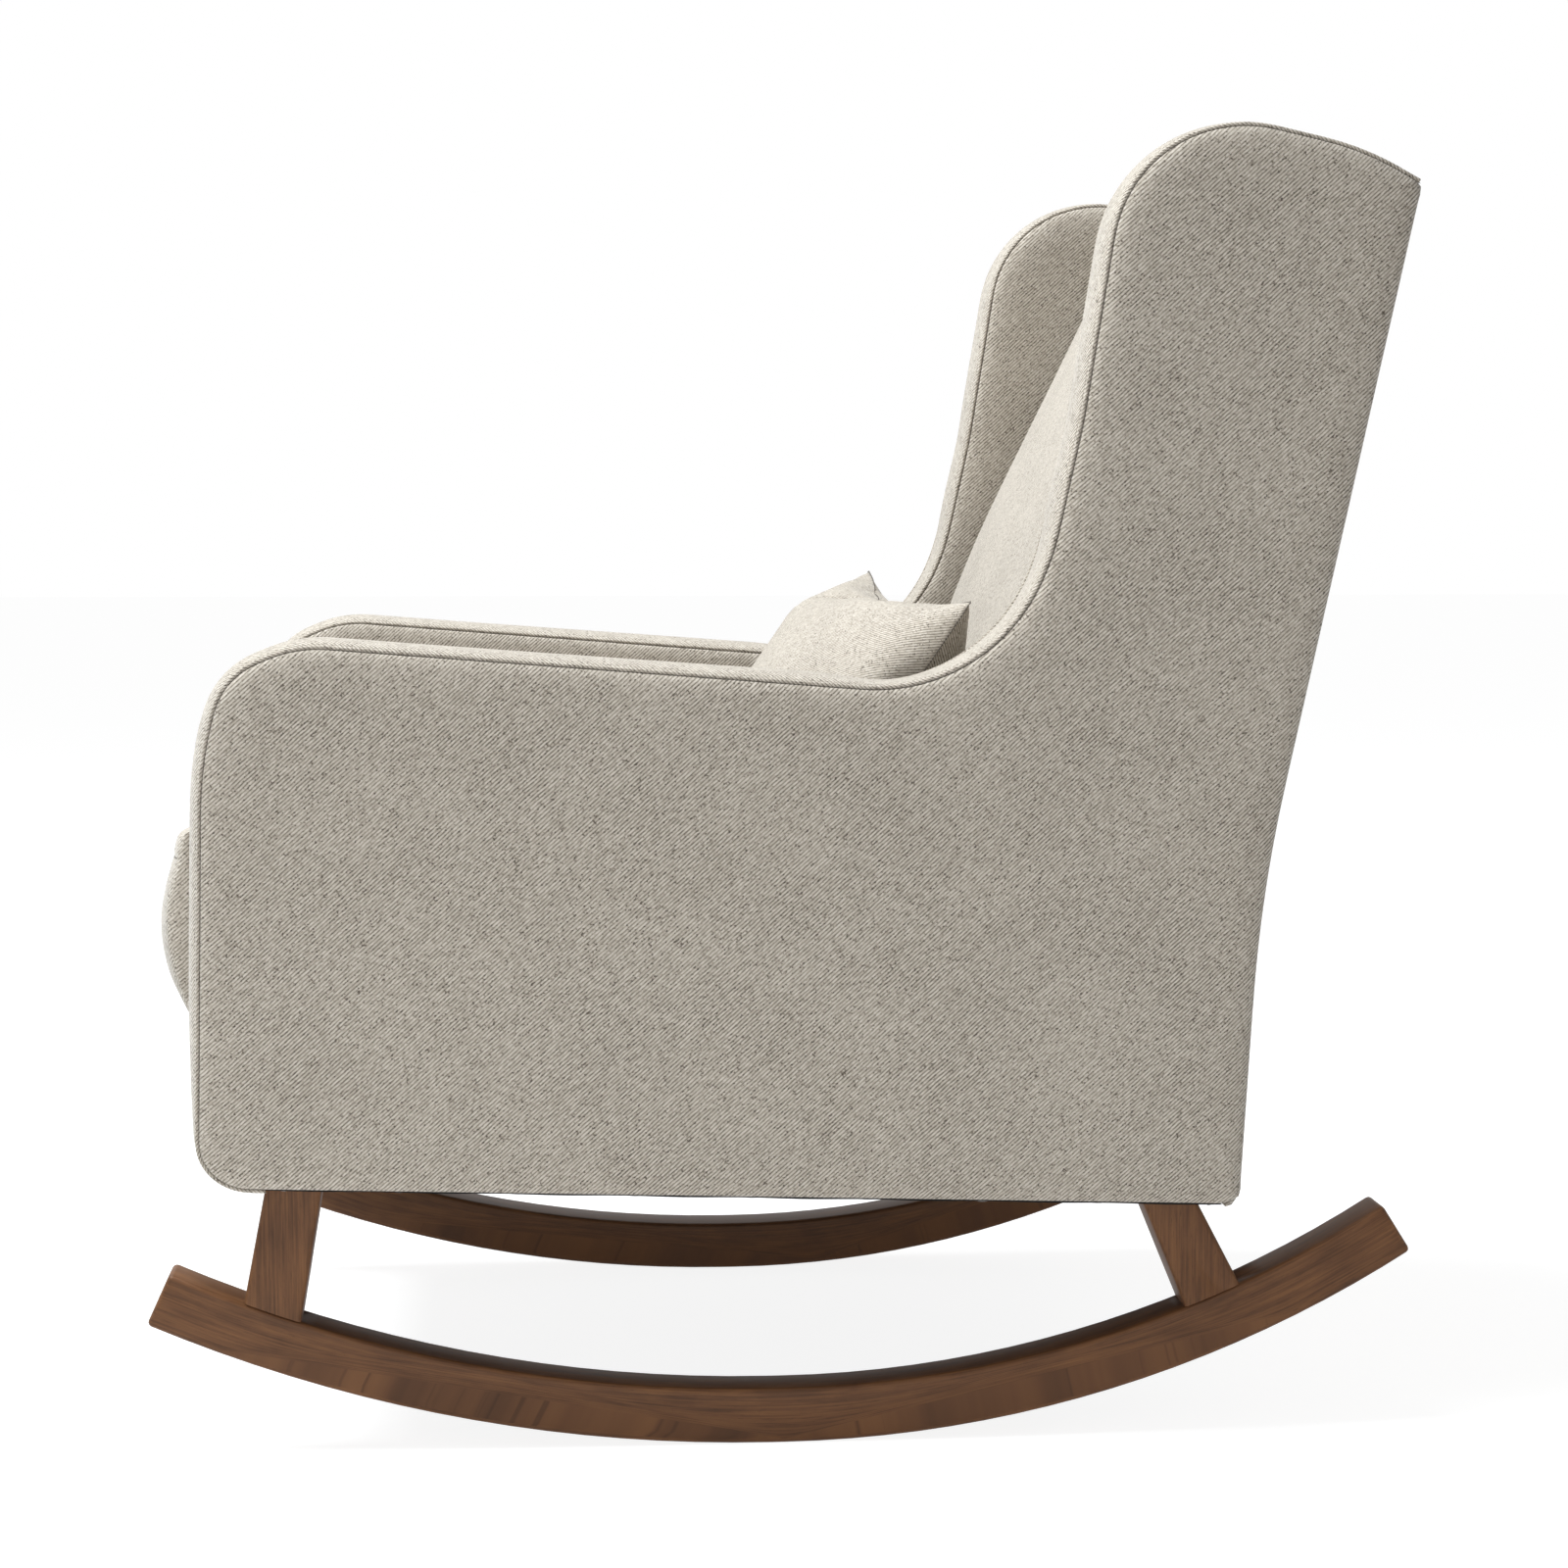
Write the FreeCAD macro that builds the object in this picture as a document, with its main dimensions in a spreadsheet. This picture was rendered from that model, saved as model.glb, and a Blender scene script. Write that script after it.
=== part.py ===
import FreeCAD, Part
import math
import os
import re

import Sketcher

# Upholstered wingback rocking chair. Millimetres, +Z up, the sitter faces -Y, the floor is at Z = 0,
# and the middle of the chair's length lies on the Z axis. Left and right are the sitter's.

drivingSizes = {
    # whole body
    "body_width": 700,
    "side_thickness": 71.5,
    "body_clearance": 219,
    "rake_drop": 26,
    "soft_gap": 0.3,
    "cut_overrun": 5,
    # side outline
    "arm_reach": 454,
    "arm_height": 631,
    "arm_front_depth": 75.9,
    "wing_height": 1032,
    "wing_depth": 327.8,
    "back_top_reach": 482.5,
    "back_waist_reach": 362.5,
    "back_waist_height": 437.5,
    "back_bend_radius": 1100,
    "back_foot_reach": 348,
    "front_foot_round": 36,
    "rear_foot_round": 9,
    "top_corner_round": 3,
    # covers
    "piping_diameter": 4.5,
    "piping_seat_gap": 0.1,
    "band_thickness": 4.5,
    "band_crown": 8,
    "seam_foot_turn": 56,
    "outside_back_thickness": 4.5,
    "border_thickness": 18,
    "border_stand": 1,
    "deck_thickness": 5.5,
    "dust_cover_thickness": 1.2,
    "dust_cover_inset": 5,
    "dust_cover_gap": 0.8,
    # side frames
    "side_frame_thickness": 22,
    "side_frame_inset": 12,
    "window_round": 24,
    # seat frame
    "rail_thickness": 28,
    "rail_height": 88,
    "rear_rail_gap": 5.4,
    "rear_bay_length": 89,
    "cleat_thickness": 22,
    "cleat_height": 27,
    "corner_block_leg": 62,
    "mount_block_width": 54,
    "mount_block_length": 50,
    "mount_block_height": 49,
    # seat springs
    "spring_wire": 3.6,
    "spring_width": 52,
    "spring_pitch": 37,
    "spring_edge_room": 63.25,
    "spring_tail": 20,
    "spring_rail_gap": 3,
    "clip_width": 12,
    "clip_length": 16,
    "clip_height": 5.2,
    # back frame
    "back_well_depth": 153,
    "back_origin_height": 480,
    "back_frame_drop": 18.1,
    "back_frame_cover": 58.8,
    "back_rail_height": 70,
    "back_frame_foot": 20,
    "hook_gap": 5,
    "webbing_width": 56,
    "webbing_thickness": 1.8,
    "webbing_edge_room": 43.25,
    # inside back pad
    "pad_foot_depth": 44.5,
    "pad_foot_thickness": 34,
    "pad_waist_drop": 10,
    "pad_bend_depth": 62.4,
    "pad_bend_radius": 1200,
    "pad_top_depth": 56.4,
    "pad_top_rise": 13.9,
    "pad_top_round": 55,
    "pad_crown": 25,
    # seat cushion
    "cushion_side_gap": 2,
    "cushion_overhang": 25,
    "cushion_front_lean": 6,
    "cushion_boxing": 146,
    "cushion_crown": 35,
    "cushion_front_bulge": 13,
    "cushion_rear_bulge": 3,
    "cushion_corner_draw": 9,
    "cushion_gap": 0.4,
    "cushion_rear_gap": 5,
    # lumbar pillow
    "pillow_side_room": 35.5,
    "pillow_height": 252,
    "pillow_thickness": 162,
    "pillow_foot_gap": 0.6,
    "pillow_back_room": 3.3,
    "pillow_extra_lean": 6.4,
    "pillow_turn": 2.5,
    # runners
    "runner_inset": 29,
    "runner_width": 44,
    "runner_depth": 44,
    "front_runner_tail": 97.5,
    "rear_runner_tail": 161.5,
    "front_rocker_radius": 1180,
    "rear_rocker_radius": 950,
    "rest_flat": 12,
    "rest_place": 9,
    # legs
    "leg_width": 44,
    "front_leg_setback": 21.5,
    "front_leg_splay": 18.5,
    "rear_leg_setback": 11.6,
    "rear_leg_splay": 38,
    "tenon_thickness": 18,
    "tenon_length": 24,
    "tenon_shoulder": 7,
    "tenon_gap": 0.2,
    # leg bolts
    "bolt_diameter": 8,
    "bolt_head_width": 13,
    "bolt_head_height": 5.5,
    "bolt_reach": 30,
    "bolt_set_in": 10,
    "washer_diameter": 20,
    "washer_thickness": 1.6,
    "bolt_hole_gap": 0.3,
}

doc = FreeCAD.newDocument("wingback_rocking_chair")
sheet = doc.addObject("Spreadsheet::Sheet", "sizes")
for row, (alias, size) in enumerate(drivingSizes.items(), start=1):
    sheet.set(f"A{row}", alias)
    sheet.set(f"B{row}", str(size))
    sheet.setAlias(f"B{row}", alias)
doc.recompute()

V = FreeCAD.Vector
zAxis = V(0, 0, 1)
sideSigns = (("left", 1), ("right", -1))
subParts = []


def sizeOf(formula):
    """Value in millimetres or degrees of a formula in the sheet's names."""
    return float(sheet.evalExpression(formula))


def bind(target, property, formula):
    """Ties a property or a sketch's dimension to a formula in the sheet's names."""
    target.setExpression(property, re.sub(r"\b[a-z]+(?:_[a-z]+)+\b", r"sizes.\g<0>", formula))


def originPlane(body, role):
    return next(item for item in body.Origin.OriginFeatures if item.Role == role)


def newBody(label):
    body = doc.addObject("PartDesign::Body", label)
    body.Label = label
    body.AllowCompound = True
    subParts.append(body)
    return body


def newSketch(body, plane, level):
    sketch = body.newObject("Sketcher::SketchObject", f"{body.Name}_sketch")
    sketch.AttachmentSupport = [(originPlane(body, plane), "")]
    sketch.MapMode = "FlatFace"
    bind(sketch, "AttachmentOffset.Base.z", level)
    return sketch


def setDatum(sketch, kind, places, size, formula):
    """Adds a dimension with its present value and ties it to its formula."""
    index = sketch.addConstraint(Sketcher.Constraint(kind, *places, size))
    bind(sketch, f"Constraints[{index}]", formula)


def arcThrough(start, end, radius, toRight):
    """Arc from start to end that bows to the right or the left of the way from one to the other."""
    chord = end - start
    side = V(chord.y, -chord.x, 0).normalize() * (1 if toRight else -1)
    rise = math.sqrt(max(radius ** 2 - (chord.Length / 2) ** 2, 0))
    centre = (start + end) / 2 - side * rise
    first, last = (start, end) if toRight else (end, start)
    angles = [math.atan2((p - centre).y, (p - centre).x) for p in (first, last)]
    return Part.ArcOfCircle(Part.Circle(centre, zAxis, radius), *angles)


def addOutline(sketch, corners, closed=True):
    """Draws a chain of corners (along, up, rounding, arc). The rounding is a radius. The arc, for the edge
    that leaves the corner, is ("radius" or "bulge", formula) and bows outward on a chain that runs
    anticlockwise, or ("hollow", formula), a radius that bows inward."""
    count = len(corners)
    corners = [tuple(corner) + (None,) * (4 - len(corner)) for corner in corners]
    points = [V(sizeOf(along), sizeOf(up), 0) for along, up, _, _ in corners]
    edgeCount = count if closed else count - 1
    trims = {}
    for i, (_, _, rounding, _) in enumerate(corners):
        if rounding:
            before = (points[i - 1] - points[i]).normalize()
            after = (points[(i + 1) % count] - points[i]).normalize()
            radius = sizeOf(rounding)
            reach = radius / math.tan(before.getAngle(after) / 2)
            trims[i] = (points[i] + before * reach, points[i] + after * reach, radius)
    edges = []
    for i in range(edgeCount):
        j = (i + 1) % count
        start = trims[i][1] if i in trims else points[i]
        end = trims[j][0] if j in trims else points[j]
        arc = corners[i][3]
        if arc is None:
            geometry, ends = Part.LineSegment(start, end), (1, 2)
        else:
            kind, formula = arc
            if kind == "bulge":
                (a, b), (c, d) = corners[i][:2], corners[j][:2]
                chord = f"((({c}) - ({a})) ^ 2 + (({d}) - ({b})) ^ 2)"
                formula = f"{chord} / (8 * ({formula})) + ({formula}) / 2"
            geometry = arcThrough(start, end, sizeOf(formula), kind != "hollow")
            ends = (2, 1) if kind == "hollow" else (1, 2)
        index = sketch.addGeometry(geometry)
        edges.append((index, ends))
        if arc is not None:
            setDatum(sketch, "Radius", (index,), sizeOf(formula), formula)
    for i, (along, up, rounding, _) in enumerate(corners):
        before = edges[i - 1] if closed or i > 0 else None
        after = edges[i] if i < edgeCount else None
        if i in trims:
            start, end, radius = trims[i]
            toRight = (start - points[i]).cross(end - points[i]).z < 0
            corner = sketch.addGeometry(arcThrough(start, end, radius, toRight))
            first, last = (1, 2) if toRight else (2, 1)
            sketch.addConstraint(Sketcher.Constraint("Tangent", before[0], before[1][1], corner, first))
            sketch.addConstraint(Sketcher.Constraint("Tangent", corner, last, after[0], after[1][0]))
            setDatum(sketch, "Radius", (corner,), radius, rounding)
            mark = (sketch.addGeometry(Part.Point(points[i]), True), 1)
            sketch.addConstraint(Sketcher.Constraint("PointOnObject", mark[0], 1, before[0]))
            sketch.addConstraint(Sketcher.Constraint("PointOnObject", mark[0], 1, after[0]))
        elif before and after:
            sketch.addConstraint(
                Sketcher.Constraint("Coincident", before[0], before[1][1], after[0], after[1][0]))
            mark = (after[0], after[1][0])
        else:
            mark = (after[0], after[1][0]) if after else (before[0], before[1][1])
        setDatum(sketch, "DistanceX", mark, points[i].x, along)
        setDatum(sketch, "DistanceY", mark, points[i].y, up)


def outlineSketch(body, corners, plane="YZ_Plane", level="0", closed=True):
    sketch = newSketch(body, plane, level)
    addOutline(sketch, corners, closed)
    return sketch


def circleSketch(body, along, up, diameter, plane, level):
    sketch = newSketch(body, plane, level)
    centre = V(sizeOf(along), sizeOf(up), 0)
    circle = sketch.addGeometry(Part.Circle(centre, zAxis, sizeOf(diameter) / 2))
    setDatum(sketch, "DistanceX", (circle, 3), centre.x, along)
    setDatum(sketch, "DistanceY", (circle, 3), centre.y, up)
    setDatum(sketch, "Diameter", (circle,), sizeOf(diameter), diameter)
    return sketch


def pad(body, sketch, length, reverse=False, symmetric=False):
    feature = body.newObject("PartDesign::Pad", f"{body.Name}_pad")
    feature.Profile = sketch
    feature.SideType = "Symmetric" if symmetric else "One side"
    feature.Reversed = reverse
    bind(feature, "Length", length)
    return feature


def pocket(body, sketch, length, reverse=False, symmetric=False):
    feature = body.newObject("PartDesign::Pocket", f"{body.Name}_pocket")
    feature.Profile = sketch
    feature.SideType = "Symmetric" if symmetric else "One side"
    feature.Reversed = reverse
    bind(feature, "Length", length)
    return feature


def sweep(body, profile, spine):
    feature = body.newObject("PartDesign::AdditivePipe", f"{body.Name}_sweep")
    feature.Profile = profile
    feature.Spine = (spine, [f"Edge{i + 1}" for i in range(len(spine.Shape.Edges))])
    return feature


def loft(body, sections):
    feature = body.newObject("PartDesign::AdditiveLoft", f"{body.Name}_loft")
    feature.Profile = sections[0]
    feature.Sections = sections[1:]
    return feature


def rectangle(low, high):
    """Corners of a rectangle from its low corner to its high corner, anticlockwise."""
    return [(low[0], low[1]), (high[0], low[1]), (high[0], high[1]), (low[0], high[1])]


def lean(target, property, reach, height, angle):
    """Puts a frame at a place in the chair's middle plane, leaning back by an angle."""
    setattr(target, property, FreeCAD.Placement(V(), FreeCAD.Rotation(V(1, 0, 0), -1)))
    bind(target, f"{property}.Base.y", reach)
    bind(target, f"{property}.Base.z", height)
    bind(target, f"{property}.Rotation.Angle", f"-({angle})")


outerHalf = "body_width / 2"
innerHalf = "(body_width / 2 - side_thickness)"
panelThickness = "((side_thickness - side_frame_thickness) / 2)"
frameInner = f"({innerHalf} + {panelThickness})"
bodyDepth = "(arm_reach + back_foot_reach)"
rakeSlope = f"(rake_drop / {bodyDepth})"
seatRake = f"atan({rakeSlope})"
footHeight = "(body_clearance - rake_drop)"


def bottomAt(along):
    """Height of the body's underside, which drops towards the back."""
    return f"(body_clearance - {rakeSlope} * (({along}) + arm_reach))"


def alongSeat(along):
    """Place on the underside in the seat's own frame, which starts at the arm's foot."""
    return f"((({along}) + arm_reach) / cos({seatRake}))"


def leanInSeat(target, property="Placement"):
    lean(target, property, "-arm_reach", "body_clearance", seatRake)


# Rails of the seat, from the front to the rear. The rear rail stays inside the back's line.
bayFront = "(border_thickness + rail_thickness)"
waistLean = f"(back_waist_reach - back_foot_reach) / (back_waist_height - {footHeight})"
rearLine = f"min(back_foot_reach; back_foot_reach + {waistLean} * rail_height)"
rearRail = f"({alongSeat(rearLine)} - rear_rail_gap - rail_thickness)"
springRail = f"({rearRail} - rear_bay_length - rail_thickness)"


def seatBody(label):
    """A piece drawn in the seat's own frame, which drops to the back."""
    body = newBody(label)
    leanInSeat(body)
    return body


# Side outline, from the arm's foot over the arm, up the wing to the rear top corner. Each row gives a place
# behind the arm's front or in front of the wing's back, a place up the arm or the wing, a rounding, and the
# way in from an edge.
armFrontShares = (
    (0.0864, 0.795, 0.726, (1.0, -0.08), -1),
    (0.3085, 0.945, 0.126, (0.83, -0.57), -1),
    (1.0000, 1.000, 0.221, (0.16, -0.99), -1),
)
armRearShares = (
    (1.0000, 0.899, 0.350, (0.63, -1.05), 1),
)
wingShares = (
    (0.8414, 0.1745, 0.500, (0.96, -0.31), 1),
    (0.7702, 0.4367, 1.005, (0.99, -0.19), 1),
    (0.6682, 0.9560, 0.243, (0.86, -0.84), -1),
    (0.3948, 1.0000, 0.235, (0.02, -1.01), -1),
    (0.1140, 0.9487, 0.530, (-0.39, -0.95), -1),
)
armSpanShare = 5.43
wingSpanShare = 1.2235
wingTopShare = 0.893
bendLimitShare = 0.85
topInsetShares = (1.05, 0.65)


def sideOutline(inset="0"):
    """Corners of the side's outline, drawn in by an inset, without its foot and its back edge."""
    armFront = "-arm_reach + {} * arm_front_depth"
    wingBack = "back_top_reach - {} * wing_depth"
    armRise = "(arm_height - body_clearance)"
    wingRise = "(wing_height - arm_height)"
    armSpan = f"min({armRise}; {armSpanShare} * arm_front_depth)"
    rearSpan = f"min({armRise}; {armSpanShare} * arm_front_depth; {wingSpanShare} * wing_depth + rake_drop)"
    wingSpan = f"min({wingRise}; {wingSpanShare} * wing_depth)"
    corners = []
    for shares, place, base, rise, span in (
            (armFrontShares, armFront, "body_clearance", armRise, armSpan),
            (armRearShares, wingBack, "body_clearance", armRise, rearSpan),
            (wingShares, wingBack, "arm_height", wingRise, wingSpan)):
        for along, up, rounding, (inAlong, inUp), roundSign in shares:
            corners.append((
                f"{place.format(along)} + {inAlong} * ({inset})",
                f"{base} + {up} * {rise} + {inUp} * ({inset})",
                f"{rounding} * {span} + {roundSign} * ({inset})",
            ))
    return corners


topCornerHeight = f"(arm_height + {wingTopShare} * (wing_height - arm_height))"
topLean = f"(back_top_reach - back_waist_reach) / ({topCornerHeight} - back_waist_height)"
waistTurn = f"abs(atan({topLean}) - atan({waistLean}))"
waistRound = (f"min(back_bend_radius; {bendLimitShare} * (back_waist_height - {footHeight})"
              f" / tan({waistTurn} / 2))")
topCorner = ("back_top_reach", topCornerHeight, "top_corner_round")
backWaist = ("back_waist_reach", "back_waist_height", waistRound)
backFoot = ("back_foot_reach", footHeight, "rear_foot_round")
armFoot = ("-arm_reach", "body_clearance", "front_foot_round")
armFootSide = f"(body_clearance + front_foot_round * tan((90 - {seatRake} / 1 deg) / 2))"


def armFootArc(turn):
    """Part of the arm's foot rounding, from its top down through a turn in degrees."""
    return [
        ("-arm_reach", armFootSide, None, ("radius", "front_foot_round")),
        (f"-arm_reach + front_foot_round * (1 - cos({turn}))",
         f"{armFootSide} - front_foot_round * sin({turn})"),
    ]


def backEdgeAt(up):
    """Reach of the straight part of the back edge at a height."""
    return f"(back_waist_reach + {topLean} * (({up}) - back_waist_height))"


# The back's own frame starts at its foot, inside the side panels, and leans back to the top rail
backOrigin = "(back_foot_reach - back_well_depth)"
frameTopHeight = f"({topCornerHeight} - back_frame_drop)"
backRise = f"({frameTopHeight} - back_origin_height)"
backSlope = f"(({backEdgeAt(frameTopHeight)} - back_frame_cover - {backOrigin}) / {backRise})"
backRecline = f"atan({backSlope})"
backFrameTop = f"({backRise} / cos({backRecline}))"
backCutHeight = f"({frameTopHeight} + hook_gap)"


def padRearAt(up):
    """Reach of the plane in which the back's webbing lies, at a height."""
    return f"({backOrigin} + {backSlope} * (({up}) - back_origin_height))"


def backBody(label):
    """A piece drawn in the back's own frame, which leans back from its foot."""
    body = newBody(label)
    lean(body, "Placement", backOrigin, "back_origin_height", backRecline)
    return body


def clockwise(corners):
    """The same corners in the other order, which turns a clockwise chain anticlockwise."""
    return corners[::-1]


# Runners, each cut from one bent board
runnerOuter = f"({outerHalf} - runner_inset)"
runnerInner = f"({runnerOuter} - runner_width)"
runnerMiddle = f"({runnerOuter} - runner_width / 2)"
frontHead = f"(-arm_reach + {bayFront} + front_leg_setback)"
rearHead = f"(-arm_reach + {rearRail} * cos({seatRake}) - rear_leg_setback)"
frontFoot = f"({frontHead} - front_leg_splay)"
rearFoot = f"({rearHead} + rear_leg_splay)"


def rockerHeight(along, depth="0"):
    """Height of a runner's curve at a place, on its underside or a depth above it."""
    front = f"({along}) < -rest_place"
    radius = f"({front} ? front_rocker_radius : rear_rocker_radius)"
    run = f"(abs(({along}) + rest_place) - rest_flat / 2)"
    return f"({radius} - sqrt(({radius} - ({depth})) ^ 2 - {run} ^ 2))"


def runnerCorners():
    corners = []
    ends = (
        (-1, "front_rocker_radius", f"({frontFoot} - front_runner_tail)"),
        (1, "rear_rocker_radius", f"({rearFoot} + rear_runner_tail)"),
    )
    for sign, radius, tip in ends:
        flatEnd = f"(-rest_place + {sign} * rest_flat / 2)"
        run = f"abs({tip} - {flatEnd})"
        scale = f"(1 - runner_depth / {radius})"
        low = (tip, f"{radius} - sqrt({radius} ^ 2 - {run} ^ 2)")
        high = (f"{flatEnd} + {sign} * {run} * {scale}",
                f"{radius} - sqrt({radius} ^ 2 - {run} ^ 2) * {scale}")
        corners.append((low, high, flatEnd, radius))
    (frontLow, frontHigh, frontFlat, frontRadius), (rearLow, rearHigh, rearFlat, rearRadius) = corners
    return [
        (*frontLow, None, ("radius", frontRadius)),
        (frontFlat, "0"),
        (rearFlat, "0", None, ("radius", rearRadius)),
        rearLow,
        (*rearHigh, None, ("hollow", f"{rearRadius} - runner_depth")),
        (rearFlat, "runner_depth"),
        (frontFlat, "runner_depth", None, ("hollow", f"{frontRadius} - runner_depth")),
        frontHigh,
    ]


legPlaces = {
    "front": (frontHead, frontFoot, "front_rocker_radius"),
    "rear": (rearHead, rearFoot, "rear_rocker_radius"),
}


tenonRootShare = 0.25


def tenonCorners(leg, gap="0"):
    """A tenon's outline, which starts inside the leg and ends in the runner, in line with the leg."""
    head, foot, _ = legPlaces[leg]
    half = f"(leg_width / 2 - tenon_shoulder + {gap})"
    seat = rockerHeight(foot, "runner_depth")
    slope = f"((({head}) - ({foot})) / ({bottomAt(head)} - {seat}))"
    deep = f"(tenon_length + {gap})"
    top = f"{tenonRootShare} * leg_width"
    return [
        (f"{foot} - {slope} * {deep} - {half}", f"{seat} - {deep}"),
        (f"{foot} - {slope} * {deep} + {half}", f"{seat} - {deep}"),
        (f"{foot} + {slope} * {top} + {half}", f"{seat} + {top}"),
        (f"{foot} + {slope} * {top} - {half}", f"{seat} + {top}"),
    ]


for side, sign in sideSigns:
    runner = newBody(f"runner_{side}")
    pad(runner, outlineSketch(runner, runnerCorners(), level=f"{sign} * {runnerInner}"),
        "runner_width", reverse=sign < 0)
    for leg in legPlaces:
        mortise = outlineSketch(runner, tenonCorners(leg, "tenon_gap"), level=f"{sign} * {runnerMiddle}")
        pocket(runner, mortise, "tenon_thickness + 2 * tenon_gap", symmetric=True)

# Legs, scribed to the runner's curve and tenoned into it
boltSide = f"({runnerMiddle} - bolt_set_in)"
for side, sign in sideSigns:
    for leg, (head, foot, radius) in legPlaces.items():
        body = newBody(f"{leg}_leg_{side}")
        corners = [
            (f"{foot} - leg_width / 2", rockerHeight(f"{foot} - leg_width / 2", "runner_depth"), None,
             ("radius", f"{radius} - runner_depth")),
            (f"{foot} + leg_width / 2", rockerHeight(f"{foot} + leg_width / 2", "runner_depth")),
            (f"{head} + leg_width / 2", bottomAt(f"{head} + leg_width / 2")),
            (f"{head} - leg_width / 2", bottomAt(f"{head} - leg_width / 2")),
        ]
        pad(body, outlineSketch(body, corners, level=f"{sign} * {runnerInner}"), "runner_width",
            reverse=sign < 0)
        tenon = outlineSketch(body, tenonCorners(leg), level=f"{sign} * {runnerMiddle}")
        pad(body, tenon, "tenon_thickness", symmetric=True)
        hole = circleSketch(body, f"{sign} * {boltSide}", alongSeat(head),
                            "bolt_diameter + 2 * bolt_hole_gap", "XY_Plane", "0")
        leanInSeat(hole, "AttachmentOffset")
        pocket(body, hole, "bolt_reach + bolt_hole_gap")

# Leg bolts, which come down through the mounting blocks into the legs
boltTop = "(mount_block_height + washer_thickness)"
bolts = seatBody("leg_bolts")
washers = seatBody("leg_washers")
for side, sign in sideSigns:
    for head, foot, radius in legPlaces.values():
        place = (f"{sign} * {boltSide}", alongSeat(head))
        pad(bolts, circleSketch(bolts, *place, "bolt_diameter", "XY_Plane", "-bolt_reach"),
            f"bolt_reach + {boltTop}")
        pad(bolts, circleSketch(bolts, *place, "bolt_head_width", "XY_Plane", boltTop), "bolt_head_height")
        pad(washers, circleSketch(washers, *place, "washer_diameter", "XY_Plane", "mount_block_height"),
            "washer_thickness")
        bore = circleSketch(washers, *place, "bolt_diameter + 2 * bolt_hole_gap", "XY_Plane", boltTop)
        pocket(washers, bore, "washer_thickness")

# Side frames, one board each, with lightening windows
windowShares = ((0.080, 0.306), (0.374, 0.600), (0.668, 0.883))
windowRiseShares = (0.396, 0.619)
for side, sign in sideSigns:
    frame = newBody(f"side_frame_{side}")
    inset = "side_frame_inset"
    corners = clockwise([
        ("-arm_reach + side_frame_inset", bottomAt("-arm_reach + side_frame_inset"),
         "front_foot_round - side_frame_inset"),
        *sideOutline(inset),
        (f"back_top_reach - {topInsetShares[0]} * {inset}",
         f"{topCornerHeight} - {topInsetShares[1]} * {inset}"),
        (f"back_waist_reach - {inset}", "back_waist_height", waistRound),
        (f"back_foot_reach - {inset}", bottomAt(f"back_foot_reach - {inset}")),
    ])
    pad(frame, outlineSketch(frame, corners, level=f"{sign} * {frameInner}"), "side_frame_thickness",
        reverse=sign < 0)
    sill, head = [f"body_clearance + {share} * (arm_height - body_clearance)" for share in windowRiseShares]
    for low, high in windowShares:
        ends = [f"-arm_reach + {share} * {bodyDepth}" for share in (low, high)]
        corners = [(*corner, "window_round") for corner in rectangle((ends[0], sill), (ends[1], head))]
        window = outlineSketch(frame, corners, level=f"{sign} * ({frameInner} + side_frame_thickness / 2)")
        pocket(frame, window, "side_frame_thickness + cut_overrun", symmetric=True)

# Side panels, the padded faces of the arms and wings
for side, sign in sideSigns:
    outer = newBody(f"side_panel_outer_{side}")
    corners = clockwise([armFoot, *sideOutline(), topCorner, backWaist, backFoot])
    pad(outer, outlineSketch(outer, corners, level=f"{sign} * ({outerHalf} - {panelThickness})"),
        panelThickness, reverse=sign < 0)
    inner = newBody(f"side_panel_inner_{side}")
    pad(inner, outlineSketch(inner, corners, level=f"{sign} * {innerHalf}"), panelThickness,
        reverse=sign < 0)

# Inner panels end behind the inside back and below the seat deck, where the rails pass
padFoot = f"({backOrigin} - pad_foot_depth)"
for side, sign in sideSigns:
    inner = doc.getObject(f"side_panel_inner_{side}")
    railFace = f"(-arm_reach + border_thickness * cos({seatRake}))"
    railTop = f"rail_height / cos({seatRake})"
    frameFoot = f"(back_origin_height - back_frame_foot * cos({backRecline}))"
    hollow = [
        (railFace, f"{bottomAt(railFace)} - cut_overrun"),
        ("back_top_reach", f"{bottomAt('back_top_reach')} - cut_overrun"),
        ("back_top_reach + cut_overrun", backCutHeight),
        (padRearAt(backCutHeight), backCutHeight),
        (padRearAt(frameFoot), frameFoot),
        (padRearAt(frameFoot), f"{bottomAt(padRearAt(frameFoot))} + {railTop}"),
        (railFace, f"{bottomAt(railFace)} + {railTop}"),
    ]
    cut = outlineSketch(inner, hollow, level=f"{sign} * {innerHalf}")
    pocket(inner, cut, f"{panelThickness} + cut_overrun", reverse=sign > 0)

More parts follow.
